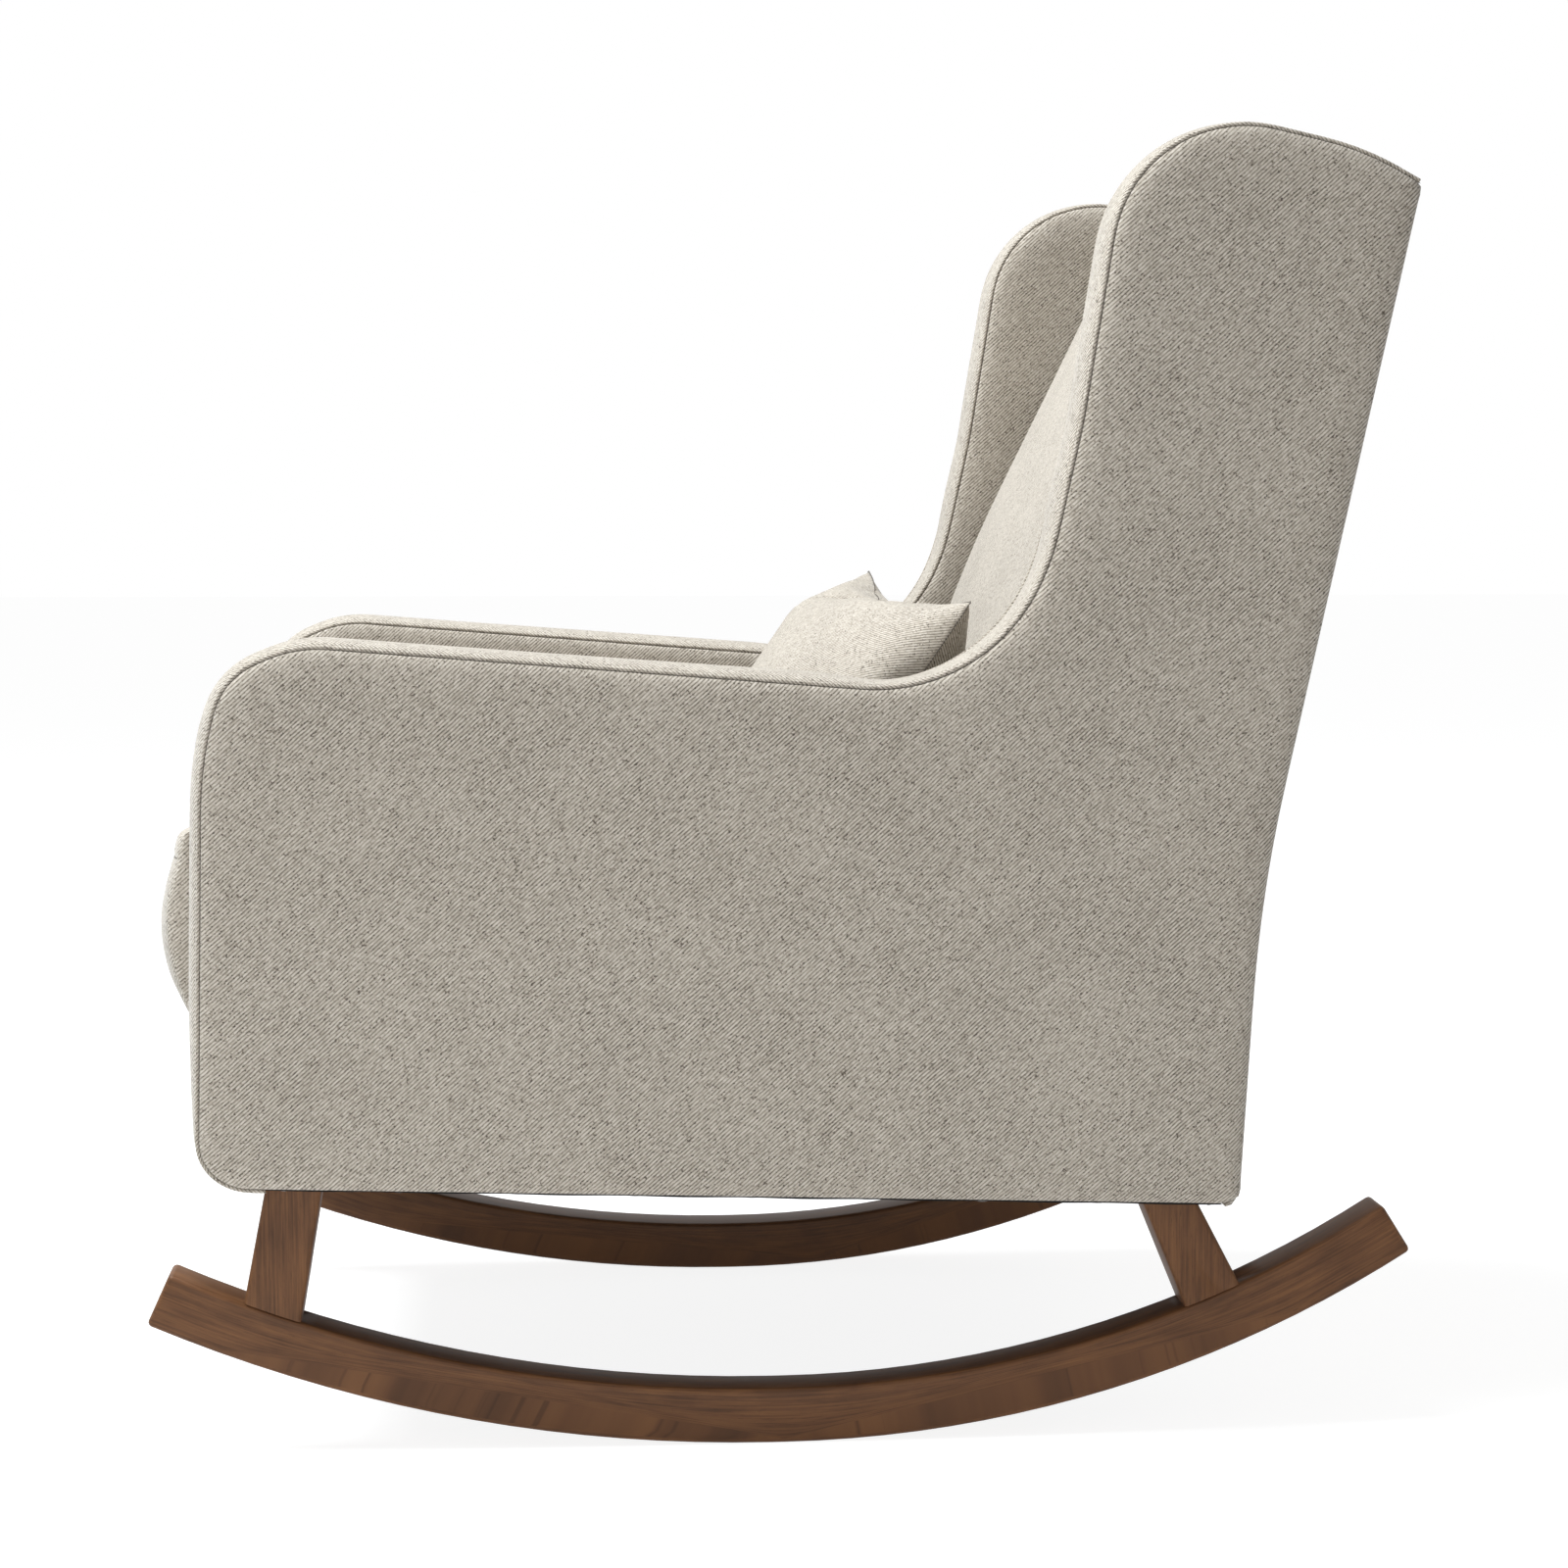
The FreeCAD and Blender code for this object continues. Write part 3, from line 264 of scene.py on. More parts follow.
twill = twillMaterial("melangeTwill", cloth)
stainedWood = stainedWoodMaterial(stain)
plywood = plainWoodMaterial("sawnPlywood", (2.0, 60.0, 2.2), "#b08d61", "#d2b589")
hardwood = plainWoodMaterial("sawnHardwood", (70.0, 2.5, 2.5), "#a67f53", "#cdae80")
springSteel = steelMaterial("drawnSpringSteel", "#6b6d70", 0.3, (0.4, 12.0, 0.4))
zinc = steelMaterial("zincPlatedSteel", "#b9babb", 0.28, 1.5)
jute = wovenMaterial("juteWebbing", 2.4, "#6d5536", "#b1905f")
cambric = wovenMaterial("blackCambric", 0.9, "#0b0b0c", "#1d1d1f")
deckCloth = wovenMaterial("deckCloth", 0.8, "#8d867b", "#b5aea3")
paleThread = wovenMaterial("paleThread", 0.3, "#8f877b", "#c9c1b4", 0.6)
# dark thread for the seams: real stitching, but its dark colour is painted shade that draws the shadow line
# in each seam
seamShadeThread = wovenMaterial("seamShadeThread", 0.3, "#3f3932", "#5f574d", 0.7)
print("materials made")


# Pieces and meshes

def placed(name, data):
    thing = bpy.data.objects.new(name, data)
    scene.collection.objects.link(thing)
    return thing


def dress(piece, material, replaced=(), body="chair"):
    piece.data.materials.clear()
    piece.data.materials.append(material)
    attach(piece, body)
    if replaced:
        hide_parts(*replaced)
    return piece


def upholster(piece, node, body="chair", material=twill):
    dress(piece, material, [node], body)


def pieceFrom(name, points, faces):
    mesh = bpy.data.meshes.new(name)
    mesh.from_pydata([tuple(p) for p in points], [], [tuple(f) for f in faces])
    mesh.validate()
    mesh.shade_smooth()
    return placed(name, mesh)


def gridFaces(rows, columns):
    # quads between points that lie row by row
    size = columns + 1
    starts = [j * size + i for j in range(rows) for i in range(columns)]
    return [(a, a + 1, a + size + 1, a + size) for a in starts]


def setWeave(piece, place):
    # place gives a corner's pattern position in metres from its point and its face's normal
    mesh = piece.data
    layer = mesh.uv_layers.get("weave") or mesh.uv_layers.new(name="weave")
    for face in mesh.polygons:
        for i in face.loop_indices:
            layer.data[i].uv = place(mesh.vertices[mesh.loops[i].vertex_index].co, face.normal)


def editable(mesh, merge=samePoint):
    # a copy to work on, with doubles merged
    work = bmesh.new()
    work.from_mesh(mesh)
    bmesh.ops.remove_doubles(work, verts=work.verts, dist=merge)
    return work


def finishMesh(piece):
    # doubles merged, faces turned outwards
    work = editable(piece.data, samePoint / 2)
    bmesh.ops.recalc_face_normals(work, faces=work.faces)
    work.to_mesh(piece.data)
    work.free()


def evaluatedMesh(piece):
    depsgraph = bpy.context.evaluated_depsgraph_get()
    return bpy.data.meshes.new_from_object(piece.evaluated_get(depsgraph))


def swap(piece, mesh):
    old = piece.data
    piece.modifiers.clear()
    piece.data = mesh
    bpy.data.meshes.remove(old)


def coordsOf(mesh):
    values = np.empty(len(mesh.vertices) * 3)
    mesh.vertices.foreach_get("co", values)
    return values.reshape(-1, 3)


def putCoords(mesh, coords):
    mesh.vertices.foreach_set("co", np.asarray(coords, float).ravel())
    mesh.update()


def normalsOf(mesh):
    values = np.empty(len(mesh.vertices) * 3, np.float32)
    mesh.vertex_normals.foreach_get("vector", values)
    return values.reshape(-1, 3).astype(float)


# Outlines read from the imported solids

def walkRound(edges, firstBy=None):
    # the corners of a closed line of edges, in order
    following = {}
    for edge in edges:
        a, b = edge.verts
        following.setdefault(a, []).append(b)
        following.setdefault(b, []).append(a)
    loop = [max(following, key=firstBy) if firstBy else next(iter(following))]
    last = None
    while True:
        here = [v for v in following[loop[-1]] if v is not last][0]
        if here is loop[0]:
            return loop
        last = loop[-1]
        loop.append(here)


def outlineOf(node, level):
    # the ordered (y, z) corners of the node's flat face at x = level
    work = editable(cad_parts[node].data)
    uses = {}
    for face in work.faces:
        if all(abs(v.co.x - level) < sameLevel for v in face.verts):
            for edge in face.edges:
                uses[edge] = uses.get(edge, 0) + 1
    loop = walkRound(edge for edge, count in uses.items() if count == 1)
    points = np.array([(v.co.y, v.co.z) for v in loop])
    work.free()
    area = np.sum(points[:, 0] * np.roll(points[:, 1], -1) - np.roll(points[:, 0], -1) * points[:, 1])
    return points if area > 0 else points[::-1]


def closed(loop):
    return np.vstack([loop, loop[:1]])


def unit(vectors):
    return vectors / np.linalg.norm(vectors, axis=1)[:, None]


def leftOf(ahead):
    return unit(np.stack([-ahead[:, 1], ahead[:, 0]], 1))


def outwardOf(path):
    # the unit vector away from the side's middle, left of a path that climbs the arm's front
    return leftOf(np.gradient(path, axis=0))


def outwardRound(loop):
    # the same at each corner of a closed outline
    return leftOf(np.roll(loop, 1, axis=0) - np.roll(loop, -1, axis=0))


def lengthsOf(points):
    return np.concatenate([[0], np.cumsum(np.linalg.norm(np.diff(points, axis=0), axis=1))])


def resample(points, step, rounds=0):
    # evenly divided, then smoothed this many times
    along = lengthsOf(points)
    places = np.linspace(0, along[-1], max(int(round(along[-1] / step)), 2) + 1)
    out = np.stack([np.interp(places, along, points[:, k]) for k in range(points.shape[1])], 1)
    for _ in range(rounds):
        out[1:-1] = (out[:-2] + 2 * out[1:-1] + out[2:]) / 4
    return out


def distanceTo(points, path):
    best = np.full(len(points), np.inf)
    for a, ab in zip(path[:-1], np.diff(path, axis=0)):
        t = np.clip(((points - a) @ ab) / ((ab * ab).sum() + 1e-18), 0, 1)
        best = np.minimum(best, np.linalg.norm(points - (a + t[:, None] * ab), axis=1))
    return best


def insideOf(points, loop):
    x, y = points[:, 0], points[:, 1]
    inside = np.zeros(len(points), bool)
    for (x0, y0), (x1, y1) in zip(loop, np.roll(loop, -1, axis=0)):
        crosses = (y0 > y) != (y1 > y)
        with np.errstate(divide="ignore", invalid="ignore"):
            inside ^= crosses & (x < (x1 - x0) * (y - y0) / (y1 - y0) + x0)
    return inside


# The padded fabric stands proud of its solid, but not under the seat
proud = {"rim": 0.0035, "rear": 0.0085, "step": 0.003, "footShare": 0.055, "footLean": 0.2,
         "cornerCut": 0.012, "pathStep": 0.004}


def spreadLoop(loop):
    # the outline, evenly divided and moved outwards
    even = resample(closed(loop), proud["step"])[:-1]
    outward = outwardRound(even)
    under, rear = np.clip(-outward[:, 1], 0, 1) ** 2, np.clip(outward[:, 0], 0, 1) ** 4
    amount = proud["rim"] * (1 - under - rear) + proud["rear"] * rear
    return even + amount[:, None] * outward


def landmarks(loop):
    # the rear top corner, the front foot and the rear foot
    foot = loop[loop[:, 0] < loop[:, 0].min() + proud["footShare"] * np.ptp(loop[:, 0])]
    return (loop[np.argmax(loop[:, 0])], foot[np.argmin(foot[:, 1])],
            loop[np.argmin(loop[:, 1] - proud["footLean"] * loop[:, 0])])


def pathBetween(loop, first, last):
    # the loop's run between its corners nearest to two points, turned round and smoothed
    a, b = (int(np.argmin(np.linalg.norm(loop - place, axis=1))) for place in (first, last))
    run = np.roll(loop, -a, axis=0)[:(b - a) % len(loop) + 1]
    return resample(run[::-1], proud["pathStep"], 2)


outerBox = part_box("side_panel_outer_left")
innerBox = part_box("side_panel_inner_left")
outerFace = outerBox[1].x
innerFace = innerBox[0].x
solidLoop = outlineOf("side_panel_outer_left", outerFace)
outerLoop = spreadLoop(solidLoop)
innerLoop = spreadLoop(outlineOf("side_panel_inner_left", innerFace))
topCorner, frontFoot, rearFoot = landmarks(outerLoop)
rim = pathBetween(outerLoop, topCorner, frontFoot)
rim = rim[np.linalg.norm(rim - topCorner, axis=1) > proud["cornerCut"]]
lastStep = (rim[-1] - rim[-4]) / 3
rim = np.vstack([rim, [rim[-1] + k * lastStep for k in (1, 2, 3)]])  # straight on to the corner
innerRim = rim[rim[:, 1] > innerLoop[:, 1].min()]
rearEdge = pathBetween(outerLoop, rearFoot, topCorner)
solidTop, _, solidFoot = landmarks(solidLoop)
backEdge = pathBetween(solidLoop, solidFoot, solidTop)
print("outlines read")


# Geometry Nodes, for what follows a path

def chainOf(points, outward, full=1.0):
    # a chain of edges that carries its length, outward vector and fullness
    mesh = bpy.data.meshes.new("path")
    mesh.from_pydata([tuple(p) for p in points], [(i, i + 1) for i in range(len(points) - 1)], [])
    for label, kind, field, values in (("along", "FLOAT", "value", lengthsOf(np.asarray(points))),
                                       ("away", "FLOAT_VECTOR", "vector", np.asarray(outward, float)),
                                       ("full", "FLOAT", "value", np.broadcast_to(full, len(points)))):
        mesh.attributes.new(label, kind, "POINT").data.foreach_set(field, values.flatten())
    return placed("path", mesh)


def pathObject(path, level, offset=0.0, full=1.0):
    # a path of the side view, at x = level
    outward = outwardOf(path)
    flat = np.full((len(path), 1), level)
    return chainOf(np.hstack([flat, path + offset * outward]), np.hstack([0 * flat, outward]), full)


def newTree(name, *sizes):
    tree = bpy.data.node_groups.new(name, "GeometryNodeTree")
    kinds = {"path": "Geometry", **{size: "Float" for size in sizes}, "material": "Material"}
    for label, kind in kinds.items():
        tree.interface.new_socket(label, in_out="INPUT", socket_type="NodeSocket" + kind)
    tree.interface.new_socket("shape", in_out="OUTPUT", socket_type="NodeSocketGeometry")
    return tree, addNode(tree, "GroupInput").outputs


def endTree(tree, shape, material):
    real = addNode(tree, "RealizeInstances", {0: shape})
    painted = addNode(tree, "SetMaterial", {"Geometry": real, "Material": material})
    addNode(tree, "GroupOutput", {0: painted})
    return tree


def grown(name, tree, chain, material, look):
    # the tree's result on a path, as a plain mesh; its sizes are those of the same name in look
    modifier = chain.modifiers.new("grow", "NODES")
    modifier.node_group = tree
    given = {**look, "material": material}
    for item in tree.interface.items_tree:
        if item.in_out == "INPUT" and item.name in given:
            modifier[item.identifier] = given[item.name]
    mesh = evaluatedMesh(chain)
    mesh.name = name
    bpy.data.objects.remove(chain)
    return placed(name, mesh)


def attribute(tree, name, kind="FLOAT"):
    return addNode(tree, "InputNamedAttribute", {0: name}, data_type=kind)


def stored(tree, shape, name, value, kind="FLOAT", domain="POINT"):
    inputs = {"Geometry": shape, "Name": name, "Value": value}
    return addNode(tree, "StoreNamedAttribute", inputs, data_type=kind, domain=domain)


def woven(tree, shape, across):
    # the pattern's place: across the strip or roll, and along its path
    place = addNode(tree, "CombineXYZ", {"X": across, "Y": attribute(tree, "along")})
    return stored(tree, shape, "weave", place, "FLOAT2", "CORNER")


def evenCurve(tree, path, step):
    curve = addNode(tree, "MeshToCurve", {0: path})
    even = addNode(tree, "ResampleCurve", {"Curve": curve, "Length": step}, mode="LENGTH")
    away = attribute(tree, "away", "FLOAT_VECTOR")
    return addNode(tree, "SetCurveNormal", {"Curve": even, "Normal": away}, mode="FREE")


# Boxing band: a fabric strip that crowns between its two seams and flattens out at the arm's foot
band = {"width": outerFace - innerFace - 0.0104, "rise": 0.0032, "crown": 0.0084, "tuck": 0.002,
        "step": 0.006, "footFade": 0.2, "cornerFade": 0.14, "hollowRadius": 0.16, "hollowLoss": 0.5,
        "blur": 12, "heights": (0.57, 0.625, 0.66, 0.85, 1.0), "shares": (1.0, 0.7, 0.7, 0.6, 0.48)}


def fullness(path, look):
    # how much of its crown the band has: little at the foot, in the hollow and at the rear corner
    along = lengthsOf(path)
    foot = np.clip(1 - along / look["footFade"], 0, 1) ** 2
    corner = np.clip(1 - (along[-1] - along) / look["cornerFade"], 0, 1) ** 2
    ahead = np.gradient(path, axis=0)
    turn = np.gradient(np.unwrap(np.arctan2(ahead[:, 1], ahead[:, 0])), along)
    hollow = np.clip(turn * look["hollowRadius"], 0, 1)
    blur = np.hanning(2 * look["blur"] + 1)
    hollow = np.convolve(np.pad(hollow, look["blur"], "edge"), blur / blur.sum(), "valid")
    upwards = np.interp(path[:, 1], look["heights"], look["shares"])
    return upwards * (1 - foot) * (1 - corner) * (1 - look["hollowLoss"] * hollow)


def bandTree():
    tree, given = newTree("boxingBand", "width", "rise", "crown", "tuck", "step")
    curve = evenCurve(tree, given["path"], given["step"])
    ends = [addNode(tree, "CombineXYZ", {"Y": product(tree, given["width"], turn)}) for turn in (-0.5, 0.5)]
    line = addNode(tree, "CurvePrimitiveLine", {"Start": ends[0], "End": ends[1]})
    profile = addNode(tree, "ResampleCurve", {"Curve": line, "Count": 21})
    kept = stored(tree, profile, "across", addNode(tree, "SplineParameter"))
    swept = addNode(tree, "CurveToMesh", {0: curve, 1: kept})
    across, full = attribute(tree, "across"), attribute(tree, "full")
    side = maths(tree, "ABSOLUTE", maths(tree, "MULTIPLY_ADD", across, 2.0, -1.0))
    dome = maths(tree, "SUBTRACT", 1.0, maths(tree, "POWER", side, 2.2))
    tuck = product(tree, maths(tree, "POWER", side, 14.0), given["tuck"])
    height = maths(tree, "SUBTRACT", product(tree, dome, given["crown"], full), tuck)
    height = maths(tree, "MULTIPLY_ADD", given["rise"], maths(tree, "MULTIPLY_ADD", full, 0.6, 0.4), height)
    offset = scaled(tree, attribute(tree, "away", "FLOAT_VECTOR"), height)
    moved = addNode(tree, "SetPosition", {"Geometry": swept, "Offset": offset})
    return endTree(tree, woven(tree, moved, product(tree, across, given["width"])), given["material"])


# Piping: a roll of the same fabric, pressed flat on the seam
piping = {"width": 0.0044, "height": 0.0036, "step": 0.004, "sunk": 0.0012, "endRun": 0.016,
          "endShare": 0.25}


def tapered(path, look):
    # 1 along a path, less towards its ends
    along = lengthsOf(path)
    end = np.clip(np.minimum(along, along[-1] - along) / look["endRun"], 0, 1)
    return look["endShare"] + (1 - look["endShare"]) * np.sqrt(end * (2 - end))


def pipingTree():
    tree, given = newTree("pressedRoll", "width", "height", "step")
    curve = evenCurve(tree, given["path"], given["step"])
    curve = addNode(tree, "SetCurveRadius", {"Curve": curve, "Radius": attribute(tree, "full")})
    ring = addNode(tree, "CurvePrimitiveCircle", {"Resolution": 12, "Radius": 0.5})
    kept = stored(tree, ring, "across", addNode(tree, "SplineParameter"))
    size = addNode(tree, "CombineXYZ", {"X": given["height"], "Y": given["width"], "Z": 1.0})
    flat = addNode(tree, "Transform", {"Geometry": kept, "Scale": size})
    swept = addNode(tree, "CurveToMesh", {0: curve, 1: flat, "Fill Caps": True})
    girth = product(tree, attribute(tree, "across"), given["width"], 3.0)
    smooth = addNode(tree, "SetShadeSmooth", {0: woven(tree, swept, girth)})
    return endTree(tree, smooth, given["material"])


# Stitches: short floats of thread, one after another along a path
stitch = {"pitch": 0.0034, "length": 0.0024, "thickness": 0.0006}
seamStitch = {"pitch": 0.0032, "length": 0.0026, "thickness": 0.0006}
# thick dark stitches on the knife edge and cushion seams, so that they read as a line: painted shade for the
# seam's groove
knifeSeamShade = {"pitch": 0.0032, "length": 0.0028, "thickness": 0.0013}


def stitchTree():
    tree, given = newTree("stitchRow", "pitch", "length", "thickness")
    curve = evenCurve(tree, given["path"], given["pitch"])
    grain = addNode(tree, "MeshUVSphere", {"Segments": 6, "Rings": 4, "Radius": 0.5})
    size = addNode(tree, "CombineXYZ",
                   {"X": given["thickness"], "Y": given["thickness"], "Z": given["length"]})
    shaped = addNode(tree, "Transform", {"Geometry": grain, "Scale": size})
    lay = addNode(tree, "AlignRotationToVector", {"Vector": addNode(tree, "InputTangent")}, axis="Z")
    row = addNode(tree, "InstanceOnPoints", {"Points": curve, "Instance": shaped, "Rotation": lay})
    return endTree(tree, row, given["material"])


bandShape, pipingShape, stitchShape = bandTree(), pipingTree(), stitchTree()


def stitches(name, chain, look, material, body="chair"):
    return dress(grown(name, stitchShape, chain, material, look), material, (), body)


rimFullness = fullness(rim, band)
for side, sign in sides:
    chain = pathObject(rim, sign * (innerFace + outerFace) / 2, 0.0, rimFullness)
    strip = grown(f"boxing_band_{side}_cloth", bandShape, chain, twill, band)
    finishMesh(strip)
    strip.data.shade_smooth()
    upholster(strip, "boxing_band_" + side)
    for label, face, inwards in (("outer", outerFace, -1), ("inner", innerFace, 1)):
        wide, sunk = piping["width"], piping["sunk"]
        seam, middle, bandSide = (sign * (face + inwards * depth)
                                  for depth in (sunk, wide / 2 + sunk, wide + 2 * sunk))
        chain = pathObject(rim, middle, piping["height"] / 2, tapered(rim, piping))
        roll = grown(f"piping_{label}_{side}_roll", pipingShape, chain, twill, piping)
        upholster(roll, f"piping_{label}_{side}")
        chain = pathObject(rim, bandSide, band["rise"] + stitch["thickness"])
        stitches(f"band_stitches_{label}_{side}", chain, stitch, paleThread)
        # dark stitches in the seam beside the piping: real stitching, with its dark colour as painted shade
        # for the seam's shadow line
        stitches(f"seam_shade_stitches_{label}_{side}", pathObject(rim, seam), seamStitch, seamShadeThread)
print("bands, piping and stitches made")


# Side panels: fabric over thin foam, rolled over its edge into the seam
sidePanel = {"edgeStep": 0.006, "rings": (0.0012, 0.003, 0.0055, 0.009), "grid": 0.010, "gridInset": 0.014,
             "roll": 0.010, "drop": 0.0012, "rearRoll": 0.012, "rearDrop": 0.006,
             "dome": {"outer": 0.0055, "inner": 0.004}, "domeReach": 0.010,
             "settled": {"outer": 0.0, "inner": 0.55}, "settledFrom": 0.02, "settledRun": 0.04}


def flatShape(loop, look):
    # triangles over an outline, finer at its edge; returns points, faces and the edge's point numbers
    edge = resample(closed(loop), look["edgeStep"])[:-1]
    border, size = closed(edge), len(edge)
    points = [edge]
    for depth in look["rings"]:
        ring = edge - depth * outwardRound(edge)
        points.append(ring[distanceTo(ring, border) > 0.93 * depth])
    low, high = edge.min(0), edge.max(0)
    ways = [np.arange(low[k], high[k], look["grid"]) for k in (0, 1)]
    field = np.stack(np.meshgrid(*ways), -1).reshape(-1, 2)
    field = field[insideOf(field, edge)]
    points.append(field[distanceTo(field, border) > look["gridInset"]])
    rows = [(i, (i + 1) % size) for i in range(size)]
    made = delaunay_2d_cdt([Vector(p) for p in np.vstack(points)], rows, [list(range(size))], 1, 1e-6)
    origin = {source[0]: i for i, source in enumerate(made[3]) if source}
    return np.array([tuple(p) for p in made[0]]), made[2], [origin[i] for i in range(size)]


def rolledPanel(name, loop, softEdge, wrapped, face, back, sign, look, label):
    # rolled over along softEdge, and more so where it wraps an edge with no seam
    flat, faces, edge = flatShape(loop, look)
    gap = distanceTo(flat, softEdge)
    dome = look["dome"][label] * (1 - np.exp(-gap / look["domeReach"]))
    dome *= 1 - look["settled"][label] * np.clip((gap - look["settledFrom"]) / look["settledRun"], 0, 1)
    for path, reach, depth in ((softEdge, look["roll"], look["drop"]),
                               (wrapped, look["rearRoll"], look["rearDrop"])):
        if path is not None:
            near = 1 - np.clip(distanceTo(flat, path) / reach, 0, 1)
            dome -= depth * (1 - np.sqrt(1 - near ** 2))
    outside = 1 if abs(face) > abs(back) else -1
    points = [(sign * (face + outside * lift), y, z) for lift, (y, z) in zip(dome, flat)]
    points += [(sign * back, *flat[i]) for i in edge]
    rows, count, size = list(faces), len(flat), len(edge)
    rows += [(edge[i], edge[(i + 1) % size], count + (i + 1) % size, count + i) for i in range(size)]
    rows.append(range(count, count + size))
    piece = pieceFrom(name, points, rows)
    finishMesh(piece)
    setWeave(piece, lambda co, normal: (co.y, co.z))
    return piece


for side, sign in sides:
    for label, loop, softEdge, wrapped, face, back in (
            ("outer", outerLoop, closed(outerLoop), rearEdge, outerFace, outerBox[0].x),
            ("inner", innerLoop, innerRim, None, innerFace, innerBox[1].x)):
        node = f"side_panel_{label}_{side}"
        panel = rolledPanel(node + "_cloth", loop, softEdge, wrapped, face, back, sign, sidePanel, label)
        upholster(panel, node)
print("side panels made")


# Sheets of fabric on a straight frame: outside back, front border and deck
sheet = {"columns": 40, "bunching": 1.6, "rim": 0.0008, "pathStep": 0.006}
outsideBackLook = {"off": 0.004, "inset": 0.0045, "thickness": 0.0045, "crown": 0.002, "roll": 0.008}
borderLook = {"thickness": 0.018, "crown": 0.001, "roll": 0.012}
deckLook = {"thickness": 0.0053, "crown": 0.0, "roll": 0.004, "sink": 0.0055}


def sheetPanel(name, path, outward, half, look):
    # a closed pad along a path in (y, z), as wide as 2 * half, crowned and rolled over at its sides
    count, columns = len(path), sheet["columns"]
    size = columns + 1
    across = np.linspace(-1, 1, size)
    across = np.tile(np.sign(across) * (1 - (1 - np.abs(across)) ** sheet["bunching"]), count)
    k = np.repeat(np.arange(count), size)
    along = lengthsOf(path)
    gap = np.minimum((1 - np.abs(across)) * half, np.minimum(along, along[-1] - along)[k])
    near = 1 - np.minimum(gap / look["roll"], 1)
    lift = look["thickness"] - (look["thickness"] - sheet["rim"]) * (1 - np.sqrt(1 - near ** 2))
    arch = np.sqrt(np.abs(np.sin(np.pi * (along / along[-1]))))
    lift += look["crown"] * (1 - np.abs(across) ** 2.5) * arch[k]
    points = np.column_stack([across * half, path[k] + lift[:, None] * outward[k]]).tolist()
    places = np.column_stack([across * half, along[k]]).tolist()
    base = len(points)
    points += [(side * half, y, z) for y, z in path.tolist() for side in (-1, 1)]
    rows = gridFaces(count - 1, columns)
    for k in range(count - 1):
        a, b = base + 2 * k, base + 2 * k + 2
        rows += [(a, b, b + 1, a + 1), (a, k * size, (k + 1) * size, b),
                 (a + 1, b + 1, (k + 1) * size + columns, k * size + columns)]
    for k in (0, count - 1):
        rows.append((base + 2 * k, *range(k * size, (k + 1) * size), base + 2 * k + 1))
    piece = pieceFrom(name, points, rows)
    finishMesh(piece)
    known = {tuple(round(c, 5) for c in p): place for p, place in zip(points, places)}
    setWeave(piece, lambda co, normal: known.get(tuple(round(c, 5) for c in co), (co.x, co.z)))
    return piece


def slabPath(node, first, second):
    # a straight path between the corners of a slab's end nearest to two (y, z) points
    points = [v.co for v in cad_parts[node].data.vertices]
    level = max(p.x for p in points)
    corners = np.array([(p.y, p.z) for p in points if p.x > level - sameLevel])
    ends = [corners[np.argmin(np.linalg.norm(corners - p, axis=1))] for p in (first, second)]
    return resample(np.array(ends), sheet["pathStep"])


backOut = outwardOf(backEdge)
outsideBack = sheetPanel("outside_back_cloth", backEdge + outsideBackLook["off"] * backOut, backOut,
                         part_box("outside_back")[1].x - outsideBackLook["inset"], outsideBackLook)
upholster(outsideBack, "outside_back")

low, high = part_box("front_border")
border = slabPath("front_border", (high.y, low.z), (high.y, high.z))
frontBorder = sheetPanel("front_border_cloth", border, np.tile((-1.0, 0.0), (len(border), 1)), high.x,
                         borderLook)
upholster(frontBorder, "front_border")

low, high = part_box("seat_deck")
seatFront = Vector((0, low.y, high.z + 0.0004))
seatSlope = (high.z - deckLook["sink"] - low.z) / (high.y - low.y)
seatNormal = Vector((0, seatSlope, 1)).normalized()
deck = slabPath("seat_deck", (low.y, high.z - deckLook["sink"]), (high.y, low.z))
deckCover = sheetPanel("seat_deck_cloth", deck, outwardOf(deck), high.x, deckLook)
upholster(deckCover, "seat_deck", material=deckCloth)
print("outside back, border and deck made")


# Padded pieces, inflated by a cloth simulation

def inflate(piece, look):
    # cloth under pressure, no gravity; each point moves at most look["cap"]
    rest = coordsOf(piece.data)
    puff = piece.modifiers.new("puff", "CLOTH")
    setup = puff.settings
    setup.quality = look["quality"]
    setup.mass = 0.3
    setup.tension_stiffness = setup.compression_stiffness = look["stiffness"]
    setup.shear_stiffness = look["stiffness"] / 3
    setup.bending_stiffness = look["bending"]
    setup.use_pressure = True
    setup.uniform_pressure_force = look["pressure"]
    setup.effector_weights.gravity = 0
    puff.collision_settings.use_collision = False
    puff.point_cache.frame_end = look["frames"]
    for step in range(1, look["frames"] + 1):
        scene.frame_set(step)
    mesh = evaluatedMesh(piece)
    shift = coordsOf(mesh) - rest
    bpy.data.meshes.remove(mesh)
    piece.modifiers.clear()
    scene.frame_set(1)
    size = np.linalg.norm(shift, axis=1)
    return rest + shift * np.minimum(1, look["cap"] / np.maximum(size, 1e-9))[:, None]


def relaxed(mesh, rounds):
    # its coordinates, moved halfway to the mean of their neighbours in each round
    coords = coordsOf(mesh)
    edges = np.empty(len(mesh.edges) * 2, int)
    mesh.edges.foreach_get("vertices", edges)
    a, b = edges.reshape(-1, 2).T
    count = np.bincount(np.concatenate([a, b]), minlength=len(coords))[:, None]
    for _ in range(rounds):
        total = np.zeros_like(coords)
        np.add.at(total, a, coords[b])
        np.add.at(total, b, coords[a])
        coords = coords + 0.5 * (total / count - coords)
    return coords


def refine(piece):
    subdivision = piece.modifiers.new("refine", "SUBSURF")
    subdivision.levels = subdivision.render_levels = 1
    swap(piece, evaluatedMesh(piece))
    piece.data.shade_smooth()


